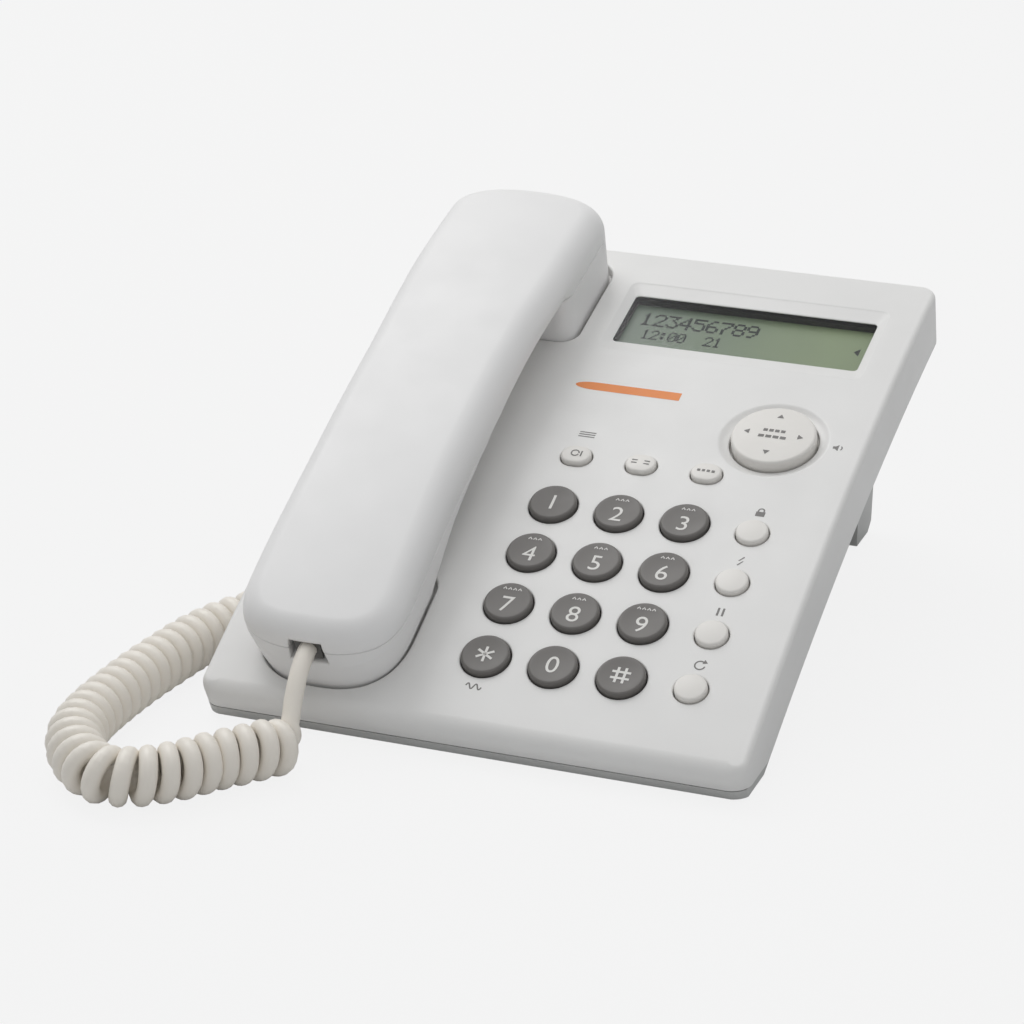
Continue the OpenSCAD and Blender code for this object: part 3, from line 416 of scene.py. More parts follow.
# ---------- housing ----------
def loop_from(points, spacing=1.0):
    """A closed outline at even spacing, with its outward directions; the points run anticlockwise."""
    p = np.array(points, float)
    run = np.linalg.norm(np.roll(p, -1, 0) - p, axis=1)
    p, run = p[run > 1e-6], run[run > 1e-6]
    total = run.sum()
    n = int(total / spacing)
    at = np.concatenate([[0], np.cumsum(run)])
    closed = np.vstack([p, p[:1]])
    want = np.linspace(0, total, n, endpoint=False)
    q = np.column_stack([np.interp(want, at, closed[:, k]) for k in (0, 1)])
    t = np.roll(q, -1, 0) - np.roll(q, 1, 0)
    t /= np.linalg.norm(t, axis=1)[:, None]
    return q, np.column_stack([t[:, 1], -t[:, 0]])


def cup_end(half, reach, power, tip, away, n=40):
    """The round end of a cup: a superellipse quarter on each side of its tip, seen from above."""
    a = np.linspace(0, math.pi, n + 1)
    x = half * np.sign(np.cos(a)) * np.abs(np.cos(a)) ** (2 / power)
    s = tip - away * reach + away * reach * np.abs(np.sin(a)) ** (2 / power)
    return list(zip(x, s))


def corner(cx, cy, r, start, n=8):
    a = np.radians(np.linspace(start, start + 90, n + 1))
    return list(zip(cx + r * np.cos(a), cy + r * np.sin(a)))


EAR_FRONT, EAR_BACK = HANDSET_FRONT + HANDSET_LEN - EAR_LEN, HANDSET_FRONT + HANDSET_LEN
MOUTH_BACK = HANDSET_FRONT + MOUTH_LEN
EAR_S = EAR_BACK - EAR_LEN / 2
HALF_W, HALF_MOUTH = HANDSET_W / 2, 20.3
EAR_CORNER, MOUTH_CORNER = 4.5, 6.0


def ear_outline():
    p = cup_end(HALF_W, 12, 2.6, EAR_BACK, 1)
    p += corner(-HALF_W + EAR_CORNER, EAR_FRONT + EAR_CORNER, EAR_CORNER, 180)
    p += corner(HALF_W - EAR_CORNER, EAR_FRONT + EAR_CORNER, EAR_CORNER, 270)
    return loop_from([(x + HANDSET_X, s) for x, s in p])


def mouth_outline():
    p = corner(HALF_MOUTH - MOUTH_CORNER, MOUTH_BACK - MOUTH_CORNER, MOUTH_CORNER, 0)
    p += corner(-HALF_MOUTH + MOUTH_CORNER, MOUTH_BACK - MOUTH_CORNER, MOUTH_CORNER, 90)
    p += [(-x, s) for x, s in cup_end(HALF_MOUTH, 22, 2.65, HANDSET_FRONT, -1)]
    return loop_from([(x + HANDSET_X, s) for x, s in p])


KEY_PLACES = [(KEY_X + c * KEY_PITCH, KEY_S + r * KEY_PITCH) for r in range(4) for c in range(3)]
ROUND_PLACES = [(ROUND_X, KEY_S + r * KEY_PITCH) for r in range(4)]
OVAL_PLACES = [(KEY_X + c * KEY_PITCH, OVAL_S) for c in range(3)]
HOOK_AT = (HANDSET_X + 9, EAR_S - 3)
POCKET_FLOOR = -CRADLE_DEPTH - SEAT_GAP
POCKET_WALL = 1.8
RIM_CHAMFER = 0.35


def hole_profile(r, depth=COVER_WALL):
    return fillet(r, 90, 180, 4, offset=r, h=-r) + [(0, -depth)]


def housing_top():
    form = Form()
    at, out = rounded(0, (PANEL_LEN - LIP_LEN) / 2, BASE_W, PANEL_LEN + LIP_LEN, CORNER_R, n=12, step=4)
    front = np.clip(-out[:, 1], 0, 1) ** 2
    r = EDGE_R + (LIP_R - EDGE_R) * front
    t = PANEL_TILT - at[:, 1] / PANEL_R
    low = np.maximum(SIDE_RIM - BASE_T, (FOOT_H + FRONT_RIM - arc_z) / np.cos(t) - PANEL_R)

    def ring(offset, h):
        return form.ring(np.column_stack([at + out * np.reshape(offset, (-1, 1)), np.broadcast_to(h, len(at))]))

    rings = [ring([-COVER_WALL] * len(at), -COVER_WALL), ring([-COVER_WALL] * len(at), low)]
    rings += [ring([-RIM_CHAMFER] * len(at), low), ring([0.0] * len(at), low + RIM_CHAMFER)]
    for a in np.radians(np.linspace(0, 90, 9)):
        rings.append(ring(-r + r * math.cos(a), -r + r * math.sin(a)))
    for a, b in zip(rings, rings[1:]):
        form.bridge(a, b)
    holes = []
    for places, d in ((KEY_PLACES, KEY_D), (ROUND_PLACES, ROUND_D)):
        holes += [(circle(x, s, d / 2 + KEY_GAP, 48), hole_profile(0.5)) for x, s in places]
    for x, s in OVAL_PLACES:
        outline = rounded(x, s, OVAL_W + 2 * KEY_GAP, OVAL_L + 2 * KEY_GAP, OVAL_L / 2 + KEY_GAP - 0.01, n=12)
        holes.append((outline, hole_profile(0.45)))
    wall = NAV_D / 2 + 2 * KEY_GAP
    edge = NAV_DISH_D / 2 - wall
    dish = [(edge + 0.5, 0), (edge + 0.15, -0.03), (edge - 0.2, -0.16), (edge - 0.6, -0.4), (edge - 1.1, -0.72)]
    dish += [(edge - 1.7, -1.0), (edge - 2.3, -1.15), (0.35, -1.2), (0.1, -1.3), (0, -1.55), (0, -COVER_WALL)]
    holes.append((circle(NAV_X, NAV_S, wall, 96), dish))
    top_holes, under_holes = [], []
    for outline, profile in holes:
        stacked = form.stack(outline, profile)
        top_holes.append(stacked[0])
        under_holes.append(stacked[-1])
    # The sunk frame slopes from its own outline down to the lens.
    outer = rounded(WINDOW_X, WINDOW_S, WINDOW_W + 2 * BEZEL_W, WINDOW_L + 2 * BEZEL_L, 2.4, n=8, step=1e9)
    inner = rounded(WINDOW_X, WINDOW_S, WINDOW_W + 0.8, WINDOW_L + 0.8, 1.3, n=8, step=1e9)
    window = []
    for base, offset, h in (
        (outer, 0.5, 0), (outer, 0.2, -0.04), (outer, -0.05, -0.15), (outer, -0.3, -0.3),
        (inner, 0.3, -BEZEL_DEPTH + 0.1), (inner, 0.1, -BEZEL_DEPTH), (inner, 0, -BEZEL_DEPTH - 0.12),
        (inner, 1.2, -BEZEL_DEPTH - 0.12), (inner, 1.2, -COVER_WALL),
    ):
        window.append(form.level(base[0] + base[1] * offset, h))
    for a, b in zip(window, window[1:]):
        form.bridge(a, b)
    top_holes.append(window[0])
    under_holes.append(window[-1])
    # Pockets for the two cups of the handset.
    for outline, hook in ((ear_outline(), True), (mouth_outline(), False)):
        g = CRADLE_GAP
        profile = [(g + o, h) for o, h in fillet(0.7, 90, 180, 5, offset=0.7, h=-0.7)]
        profile += [(g, POCKET_FLOOR + 0.6), (g - 0.18, POCKET_FLOOR + 0.18), (g - 0.6, POCKET_FLOOR)]
        pocket = form.stack(outline, profile)
        top_holes.append(pocket[0])
        under = form.stack(outline, [(g + POCKET_WALL, POCKET_FLOOR - POCKET_WALL), (g + POCKET_WALL, -COVER_WALL)])
        under_holes.append(under[-1])
        slot = []
        if hook:
            cut = rounded(*HOOK_AT, 6.8, 4.8, 1.2, n=5)
            slot = form.stack(cut, [(0.3, POCKET_FLOOR), (0, POCKET_FLOOR - 0.3), (0, POCKET_FLOOR - POCKET_WALL)])
        form.fill(pocket[-1], slot[:1], 5)
        form.fill(under[0], slot[-1:], 6, down=True)
    form.fill(rings[-1], top_holes, 5.5)
    form.fill(rings[0], under_holes, 9, down=True)
    own(form.piece("housing_top", WHITE), "base", "upper_cover")


housing_top()


# ---------- handset ----------
def rounded_and(a, b, r):
    """What two solids share, with the edge between their faces rounded."""
    both = np.hypot(np.maximum(a + r, 0), np.maximum(b + r, 0)) - r
    return np.where((a > -r) & (b > -r), both, np.maximum(a, b))


def rounded_or(a, b, r):
    return -rounded_and(-a, -b, r)


def end_shape(x, s, half, front, reach_f, power_f, back, reach_b, power_b):
    """Distance outside a long outline with superellipse ends, seen from above."""
    ef = np.maximum(front + reach_f - s, 0) / reach_f
    eb = np.maximum(s - back + reach_b, 0) / reach_b
    power = np.where(ef > 0, power_f, power_b)
    reach = np.where(ef > 0, reach_f, reach_b)
    e = ef + eb
    u = np.abs(x) / half
    g = np.maximum((u**power + e**power) ** (1 / power), 1e-6)
    slope = np.hypot((u / g) ** (power - 1) / half, (e / g) ** (power - 1) / reach)
    return (g - 1) / np.maximum(slope, 0.4 / half)


BACK_R, CROWN_R, APEX_Y = 560.0, 144.0, 8.0
TAPER_H, GRIP_H = 9.5, 10.4
SOCKET_HALF, SOCKET_H, SOCKET_TALL, SOCKET_DEEP = 4.6, 12.7, 7.4, 9


def back_height(x, s, h):
    """Distance outside the handset's crowned back."""
    t = (s - HANDSET_S) / PANEL_R
    y, z = (PANEL_R + h) * np.sin(t), (PANEL_R + h) * np.cos(t) - PANEL_R
    ring = np.hypot(y - APEX_Y, z - HANDSET_H + BACK_R)
    return np.hypot(ring - BACK_R + CROWN_R, x) - CROWN_R


def smoothed(t):
    t = np.clip(t, 0, 1)
    return t * t * (3 - 2 * t)


def waist(s):
    """How much each side draws in between the two cups."""
    return 0.9 + 1.0 * smoothed((s - 20) / 50) - 1.9 * smoothed((s - 104) / 54)


def handset_solid(p):
    """Distance outside the handset's closed outer form; p is x from its middle, s and h."""
    x, s, h = p[:, 0], p[:, 1], p[:, 2]
    draw = waist(s)
    plan = end_shape(x, s, HALF_W - draw, HANDSET_FRONT, 20, 2.8, EAR_BACK, 13, 2.7)
    grip_low = GRIP_H + 0.0062 * x * x
    grip = rounded_and(plan, grip_low - h, 3.0)
    taper = np.clip((h + 1) / (TAPER_H + 1), 0, 1)
    half = HALF_MOUTH + (HALF_W - draw - HALF_MOUTH) * (1 - (1 - taper) ** 1.6)
    mouth_plan = end_shape(x, s, half, HANDSET_FRONT, 20.5, 2.7, 400, 10, 3)
    up = np.clip(h, 0, 14)
    slope = (s - MOUTH_BACK - 0.9 * up - 0.25 * up**2) / np.hypot(1, 0.9 + 0.5 * up)
    mouth = rounded_and(rounded_and(mouth_plan, slope, MOUTH_CORNER), -CRADLE_DEPTH - h, 1.2)
    front = EAR_FRONT - s - 0.06 * (11 - h)
    ear = rounded_and(rounded_and(plan, front, EAR_CORNER), -CRADLE_DEPTH - h, 1.2)
    body = rounded_or(rounded_or(grip, mouth, 5.0), ear, 1.6)
    body = np.maximum(body, plan)
    body = rounded_and(body, back_height(x, s, h), 6.5)
    # The mouth of the socket for the cord widens downwards.
    side = np.abs(x) - SOCKET_HALF - 0.12 * (16.5 - h)
    notch = np.maximum(side, np.abs(h - SOCKET_H) - SOCKET_TALL / 2)
    notch = np.maximum(notch, s - HANDSET_FRONT - SOCKET_DEEP)
    return rounded_and(body, -notch, 0.5)


def slopes(field, p, step=0.02):
    g = np.empty_like(p)
    for k in range(3):
        d = np.zeros(3)
        d[k] = step
        g[:, k] = (field(p + d) - field(p - d)) / (2 * step)
    return g


def surface_of(field, axes):
    """Quads over the field's zero level on a grid, their corners pulled onto it, and the outward directions there."""
    size = [len(a) for a in axes]
    grid = np.stack(np.meshgrid(*axes, indexing="ij"), -1)
    value = field(grid.reshape(-1, 3)).reshape(size)
    total = np.zeros((size[0] - 1, size[1] - 1, size[2] - 1, 3))
    count = np.zeros(total.shape[:3])
    crossing = []
    for k in range(3):
        lo = [slice(None)] * 3
        hi = [slice(None)] * 3
        lo[k], hi[k] = slice(0, -1), slice(1, None)
        a, b = value[tuple(lo)], value[tuple(hi)]
        cross = (a < 0) != (b < 0)
        t = np.where(cross, a / np.where(a == b, 1, a - b), 0)[..., None]
        at = grid[tuple(lo)] * (1 - t) + grid[tuple(hi)] * t
        u, v = [m for m in range(3) if m != k]
        for du in (0, 1):
            for dv in (0, 1):
                cut = [slice(None)] * 3
                cut[u] = slice(du, du + size[u] - 1)
                cut[v] = slice(dv, dv + size[v] - 1)
                c = cross[tuple(cut)]
                total += at[tuple(cut)] * c[..., None]
                count += c
        crossing.append((k, u, v, cross, a < 0))
    used = count > 0
    index = -np.ones(count.shape, int)
    index[used] = np.arange(used.sum())
    points = total[used] / count[used][:, None]
    quads = []
    for k, u, v, cross, a_in in crossing:
        ids = np.argwhere(cross)
        ids = ids[(ids[:, u] > 0) & (ids[:, u] < size[u] - 1) & (ids[:, v] > 0) & (ids[:, v] < size[v] - 1)]
        corner_ids = []
        for du, dv in ((-1, -1), (0, -1), (0, 0), (-1, 0)):
            c = ids.copy()
            c[:, u] += du
            c[:, v] += dv
            corner_ids.append(index[tuple(c.T)])
        q = np.column_stack(corner_ids)
        flip = a_in[tuple(ids.T)] == (k == 1)
        q[flip] = q[flip][:, ::-1]
        quads.append(q)
    quads = np.vstack(quads)
    for _ in range(4):
        g = slopes(field, points)
        points = points - g * np.clip(field(points) / np.maximum((g**2).sum(1), 0.05), -0.5, 0.5)[:, None]
    return points, quads


def spread_axis(low, high, step, *fine):
    """Grid lines from low to high, closer together inside each (from, to, step) of fine."""
    out = [low]
    while out[-1] < high:
        here = min([step] + [f for a, b, f in fine if a - step <= out[-1] < b])
        out.append(out[-1] + here)
    return np.array(out)


def split_shell(points, quads, cut, upper):
    """One shell of a closed form: the side of the parting line it's on, with a lip turned in at the line."""
    mesh = bmesh.new()
    verts = [mesh.verts.new(p) for p in points]
    for q in quads:
        mesh.faces.new([verts[i] for i in q])
    side = 1 if upper else -1
    bmesh.ops.bisect_plane(
        mesh, geom=mesh.verts[:] + mesh.edges[:] + mesh.faces[:], dist=1e-4,
        plane_co=(0, 0, cut + side * PART_HALF_GAP), plane_no=(0, 0, side), clear_inner=True,
    )
    bmesh.ops.remove_doubles(mesh, verts=mesh.verts[:], dist=0.01)
    shell = set(mesh.faces)
    edges = [e for e in mesh.edges if e.is_boundary and abs(e.verts[0].co.z - cut - side * PART_HALF_GAP) < 0.01]
    for inward, rise in ((0.35, -0.17), (1.6, 0.0)):
        made = bmesh.ops.extrude_edge_only(mesh, edges=edges)["geom"]
        new = [g for g in made if isinstance(g, bmesh.types.BMVert)]
        at = np.array([v.co[:] for v in new])
        g = slopes(handset_solid, at)[:, :2]
        g /= np.maximum(np.linalg.norm(g, axis=1), 0.2)[:, None]
        for v, d in zip(new, g):
            v.co.x -= d[0] * inward
            v.co.y -= d[1] * inward
            v.co.z += side * rise
        edges = [g for g in made if isinstance(g, bmesh.types.BMEdge)]
    mesh.verts.index_update()
    mesh.normal_update()
    # The operators leave points and faces in an order that varies from run to run, so both are sorted.
    co = np.array([v.co[:] for v in mesh.verts])
    order = np.lexsort(co.T)
    rank = np.argsort(order)
    rows = sorted(([int(rank[v.index]) for v in f.verts], f in shell, f.normal[:]) for f in mesh.faces)
    mesh.free()
    faces, flags, face_n = zip(*rows)
    return co[order], faces, flags, face_n


def handset():
    xs = spread_axis(-25.2, 25.2, 1.0, (-7.5, 7.5, 0.5))
    ss = spread_axis(HANDSET_FRONT - 1, EAR_BACK + 1, 1.0, (2, 14, 0.5), (144, 152, 0.6), (44, 60, 0.8))
    hs = spread_axis(-CRADLE_DEPTH - 1, 29.5, 0.75)
    points, quads = surface_of(handset_solid, (xs, ss, hs))
    shells = (("handset_back_shell", "handset_top", True), ("handset_face_shell", "handset_bottom", False))
    for name, node, upper in shells:
        co, faces, flags, face_n = split_shell(points, quads, PART_H, upper)
        n = slopes(handset_solid, co)
        n /= np.linalg.norm(n, axis=1)[:, None]
        placed = co + (HANDSET_X, 0, 0)
        world_n = turned(placed, n)
        first = placed[[f[0] for f in faces]]
        world_f = turned(first, face_n)
        corner_n = [world_n[v] if out else world_f[k] for k, (f, out) in enumerate(zip(faces, flags)) for v in f]
        piece = add_mesh(name, on_panel(placed), faces, HANDSET_WHITE, normals=corner_n)
        own(piece, "handset", node)


handset()


# ---------- keys ----------
def spot(x, s):
    """Places points given about one spot of the panel, square to it there."""
    t = PANEL_TILT - s / PANEL_R
    at = np.array([x, arc_y - PANEL_R * math.sin(t) + shift_y, arc_z + PANEL_R * math.cos(t)])
    along = np.array([0, math.cos(t), math.sin(t)])
    up = np.array([0, -math.sin(t), math.cos(t)])

    def place(points):
        p = np.asarray(points, float).reshape(-1, 3)
        return (at + p[:, :1] * np.array([1.0, 0, 0]) + p[:, 1:2] * along + p[:, 2:] * up) * MM

    return place


def cap_form(outline, top, rim, rise, room=CAP_ROOM, centre_rings=6):
    """A key's cap over its outline: flange, skirt, round rim and a top whose middle rises, or sinks if rise < 0."""
    form = Form()
    at, out = outline
    under = -COVER_WALL - room
    stack = [(CAP_FLANGE, under - CAP_FLANGE_T), (CAP_FLANGE, under), (0, under), (0, top - rim)]
    stack += fillet(rim, 0, 90, 5, offset=-rim, h=top - rim)[1:]
    rings = form.stack(outline, stack)
    inner = at - out * rim
    centre = at.mean(0)
    last = rings[-1]
    for k in range(1, centre_rings):
        share = 1 - k / centre_rings
        ring = form.level(centre + (inner - centre) * share, top + rise * (1 - share**2))
        form.bridge(last, ring)
        last = ring
    tip = form.ring([(*centre, top + rise)])[0]
    for i in range(len(last)):
        form.faces.append((last[i], last[(i + 1) % len(last)], tip))
    form.cap(rings[0][::-1])
    return form


DIGIT_NODES = ["key_" + name for name in ("star", "0", "hash", "7", "8", "9", "4", "5", "6", "1", "2", "3")]
ROUND_NODES = ["round_key_d", "round_key_c", "round_key_b", "round_key_a"]
OVAL_NODES = ["oval_key_left", "oval_key_middle", "oval_key_right"]


def add_key(name, form, place, body, material):
    own(form.piece(name + "_cap", material, place), body, name)


def add_print(name, form, material, body, place=on_panel):
    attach(form.piece(name, material, place), body)


def lifted(xy, top):
    """Flat places raised to the height top(x, y)."""
    return [(a, b, top(a, b)) for a, b in xy]


def glyph(form, text, size, x, y, top):
    """Flat printed figures, as faces just above a height given by top(x, y)."""
    curve = bpy.data.curves.new("glyph", "FONT")
    curve.body = text
    curve.size = size
    curve.align_x = "CENTER"
    curve.align_y = "CENTER"
    curve.resolution_u = 4
    holder = bpy.data.objects.new("glyph", curve)
    scene.collection.objects.link(holder)
    bpy.context.view_layer.update()
    data = bpy.data.meshes.new_from_object(holder)
    mesh = bmesh.new()
    mesh.from_mesh(data)
    bmesh.ops.triangulate(mesh, faces=mesh.faces[:])
    for _ in range(2):
        long = [e for e in mesh.edges if e.calc_length() > 1.2]
        if long:
            bmesh.ops.subdivide_edges(mesh, edges=long, cuts=1)
            bmesh.ops.triangulate(mesh, faces=mesh.faces[:])
    mesh.verts.index_update()
    co = np.array([v.co[:2] for v in mesh.verts])
    middle = (co.min(0) + co.max(0)) / 2
    ids = form.ring(lifted(co - middle + (x, y), top))
    for f in mesh.faces:
        form.cap([ids[v.index] for v in f.verts])
    mesh.free()
    bpy.data.meshes.remove(data)
    bpy.data.objects.remove(holder)
    bpy.data.curves.remove(curve)


def patch(form, corners, top):
    """One flat printed shape from its corners, anticlockwise."""
    form.cap(form.ring(lifted(corners, top)))


def block(form, x0, y0, x1, y1, top):
    patch(form, [(x0, y0), (x1, y0), (x1, y1), (x0, y1)], top)


def stroke(form, points, width, top):
    """A printed line of even width along points."""
    p = [np.array(q, float) for q in points]
    n = len(p)
    left, right = [], []
    for i in range(n):
        a, b = p[max(i - 1, 0)], p[min(i + 1, n - 1)]
        d = (b - a) / np.linalg.norm(b - a)
        side = np.array([-d[1], d[0]]) * width / 2
        left.append(p[i] + side)
        right.append(p[i] - side)
    l, r = form.ring(lifted(left, top)), form.ring(lifted(right, top))
    for i in range(n - 1):
        form.cap((r[i], r[i + 1], l[i + 1], l[i]))


def dished(x, y):
    """Height of a digit key's hollow top."""
    return KEY_H - KEY_HOLLOW * (1 - (x * x + y * y) / (KEY_D / 2 - KEY_RIM) ** 2) + PRINT_LIFT


LETTERS = {"key_%d" % digit: 4 if digit in (7, 9) else 3 for digit in range(2, 10)}
FIGURE_SIZE, FIGURE_DROP, SIGN_HALF, SIGN_LINE, HASH_HALF = 7.9, 1.1, 2.6, 0.75, 1.05
LETTER_PITCH, LETTER_HALF, LETTER_LOW, LETTER_TOP, LETTER_LINE = 1.4, 0.48, 3.95, 4.6, 0.34


def digit_keys():
    for node, (x, s) in zip(DIGIT_NODES, KEY_PLACES):
        place = spot(x, s)
        form = cap_form(circle(0, 0, KEY_D / 2, 56), KEY_H, KEY_RIM, -KEY_HOLLOW)
        add_key(node, form, place, node + "_body", KEY_GREY)
        figure = Form()
        n = LETTERS.get(node, 0)
        if node == "key_star":
            for k in range(3):
                a = math.radians(90 + 60 * k)
                d = np.array([math.cos(a), math.sin(a)]) * SIGN_HALF
                stroke(figure, [-d, d], SIGN_LINE, dished)
        elif node == "key_hash":
            for o in (-HASH_HALF, HASH_HALF):
                stroke(figure, [(-SIGN_HALF, o), (SIGN_HALF, o)], SIGN_LINE, dished)
                stroke(figure, [(o, -SIGN_HALF), (o, SIGN_HALF)], SIGN_LINE, lambda a, b: dished(a, b) + 0.01)
        else:
            glyph(figure, node[-1], FIGURE_SIZE, 0, -FIGURE_DROP if n else 0, dished)
        for k in range(n):
            cx = (k - (n - 1) / 2) * LETTER_PITCH
            peak = [(cx - LETTER_HALF, LETTER_LOW), (cx, LETTER_TOP), (cx + LETTER_HALF, LETTER_LOW)]
            stroke(figure, peak, LETTER_LINE, dished)
        add_print(node + "_figure", figure, PRINT_LIGHT, node + "_body", place)


def white_keys():
    for node, (x, s) in zip(ROUND_NODES, ROUND_PLACES):
        form = cap_form(circle(0, 0, ROUND_D / 2, 48), SMALL_H, SMALL_RIM, ROUND_CROWN)
        add_key(node, form, spot(x, s), node + "_body", KEY_WHITE)
    for node, (x, s) in zip(OVAL_NODES, OVAL_PLACES):
        outline = rounded(0, 0, OVAL_W, OVAL_L, OVAL_L / 2 - 0.01, n=12)
        form = cap_form(outline, SMALL_H, SMALL_RIM, OVAL_CROWN)
        add_key(node, form, spot(x, s), node + "_body", KEY_WHITE)


def navigator():
    """The four-way key, with four arrows and two rows of dashes where its words are."""
    place = spot(NAV_X, NAV_S)
    form = cap_form(circle(0, 0, NAV_D / 2, 96), NAV_H, NAV_RIM, NAV_CROWN, NAV_ROOM, centre_rings=8)
    add_key("nav_key", form, place, "navigator", KEY_WHITE)
    top = lambda a, b: NAV_H + NAV_CROWN * (1 - (a * a + b * b) / (NAV_D / 2 - NAV_RIM) ** 2) + PRINT_LIFT
    figure = Form()
    for k in range(4):
        a = math.pi / 2 * k
        c, d = math.cos(a), math.sin(a)
        arrow = [(-1.0, 7.0), (1.0, 7.0), (0.0, 8.6)]
        patch(figure, [(x * c - y * d, x * d + y * c) for x, y in arrow], top)
    for y, w in ((1.3, 3.4), (-1.3, 4.2)):
        for k in range(4):
            x0 = -w + k * w / 2
            stroke(figure, [(x0 + 0.15, y), (x0 + w / 2 - 0.3, y)], 1.1, top)
    add_print("nav_key_print", figure, PRINT_GREY, "navigator", place)


digit_keys()
white_keys()
navigator()


# ---------- display ----------
LENS_TOP, LENS_T, LENS_OVER, GLASS_TOP, GLASS_OVER = -BEZEL_DEPTH, 1.4, 2.9, -4.3, 4
DOT_PITCH, DOT_W, DOT_L = 1.12, 1.35, 1.2


def lens_material():
    """Clear plastic: a faint reflection over what lies under it."""
    material = bpy.data.materials.new("clear_lens")
    tree = blank(material)
    clear = add_node(tree, "BsdfTransparent", {"Color": (0.95, 0.96, 0.95, 1)})[0]
    shine = add_node(tree, "BsdfGlossy", {"Roughness": 0.12, "Normal": relief(tree, 60, 4, 0.15, 0.02)})[0]
    rim = add_node(tree, "Fresnel", {"IOR": 1.25})[0]
    front = add_node(tree, "Math", {0: 1.0, 1: add_node(tree, "NewGeometry")["Backfacing"]}, "SUBTRACT")[0]
    share = add_node(tree, "Math", {0: rim, 1: front}, "MULTIPLY")[0]
    add_node(tree, "OutputMaterial", {"Surface": add_node(tree, "MixShader", {0: share, 1: clear, 2: shine})[0]})
    return material


def glass_material():
    """The display's grey green with faint clouds; painted shade makes it darker at its left and lighter, a little
    yellower, towards its right.
    """
    material, tree, shader = principled("display_glass")
    place = add_node(tree, "TexCoord")["Object"]
    x = add_node(tree, "SeparateXYZ", {0: place})["X"]
    # Painted shade: the colour runs from darker at the display's left to lighter and yellower at its right.
    painted_shade_across = add_node(tree, "MapRange", {"Value": x, "From Min": -0.01, "From Max": 0.065})[0]
    share = add_node(tree, "Math", {0: noise(tree, 40, 3), 1: 0.3, 2: painted_shade_across}, "MULTIPLY_ADD")[0]
    stops = [(0.1, linear(106, 118, 108)), (0.6, linear(118, 131, 110)), (1.0, linear(138, 151, 118))]
    tree.links.new(ramp(tree, share, stops), shader["Base Color"])
    shader["Roughness"].default_value = 0.35
    return material


DOTS = {
    "0": "01110 10001 10011 10101 11001 10001 01110", "1": "00100 01100 00100 00100 00100 00100 01110",
    "2": "01110 10001 00001 00010 00100 01000 11111", "3": "11111 00010 00100 00010 00001 10001 01110",
    "4": "00010 00110 01010 10010 11111 00010 00010", "5": "11111 10000 11110 00001 00001 10001 01110",
    "6": "00110 01000 10000 11110 10001 10001 01110", "7": "11111 00001 00010 00100 01000 01000 01000",
    "8": "01110 10001 10001 01110 10001 10001 01110", "9": "01110 10001 10001 01111 00001 00010 01100",
    ":": "00000 01100 01100 00000 01100 01100 00000", " ": "",
}


def plate(name, over, corner_r, n, profile, material, node, place):
    """A closed plate that reaches past the window by half of over on each side."""
    form = Form()
    rings = form.stack(rounded(0, 0, WINDOW_W + over, WINDOW_L + over, corner_r, n=n, step=8), profile)
    form.cap(rings[-1])
    form.cap(rings[0][::-1])
    own(form.piece(name, material, place), "base", node)


def display():
    place = spot(WINDOW_X, WINDOW_S)
    low = LENS_TOP - LENS_T
    edge = [(-0.15, low), (0, low + 0.15), (0, LENS_TOP - 0.15), (-0.15, LENS_TOP)]
    plate("display_lens", LENS_OVER, 0.8, 5, edge, lens_material(), "lcd_lens", place)
    edge = [(0, -2.6), (0, -1.5), (-0.1, -1.4), (-0.1, -1.3), (0, -1.2), (0, -0.1), (-0.1, 0)]
    edge = [(offset, GLASS_TOP + h) for offset, h in edge]
    plate("display_glass", GLASS_OVER, 0.5, 4, edge, glass_material(), "lcd_glass", place)
    figure = Form()
    flat = lambda a, b: GLASS_TOP + 0.04
    rows = (("123456789", -33.5, 4.1, 4.05, 0.66, 0.78), ("12:00  21", -31.0, -3.1, 2.75, 0.46, 0.60))
    for text, x0, y0, pitch, wide, tall in rows:
        for k, char in enumerate(text):
            for r, row in enumerate(DOTS[char].split()):
                for c, bit in enumerate(row):
                    if bit == "1":
                        x, y = x0 + k * pitch + c * wide * DOT_PITCH, y0 + (3 - r) * tall * DOT_PITCH
                        block(figure, x, y, x + wide * DOT_W, y + tall * DOT_L, flat)
    patch(figure, [(32.3, 1.0), (34.0, -0.8), (34.0, 2.8)], flat)
    add_print("display_figures", figure, FIGURE_DARK, "base", place)


display()


# ---------- printing on the housing ----------
def arc(cx, cy, r, start, end, n=14):
    a = np.radians(np.linspace(start, end, n))
    return [(cx + r * math.cos(t), cy + r * math.sin(t)) for t in a]


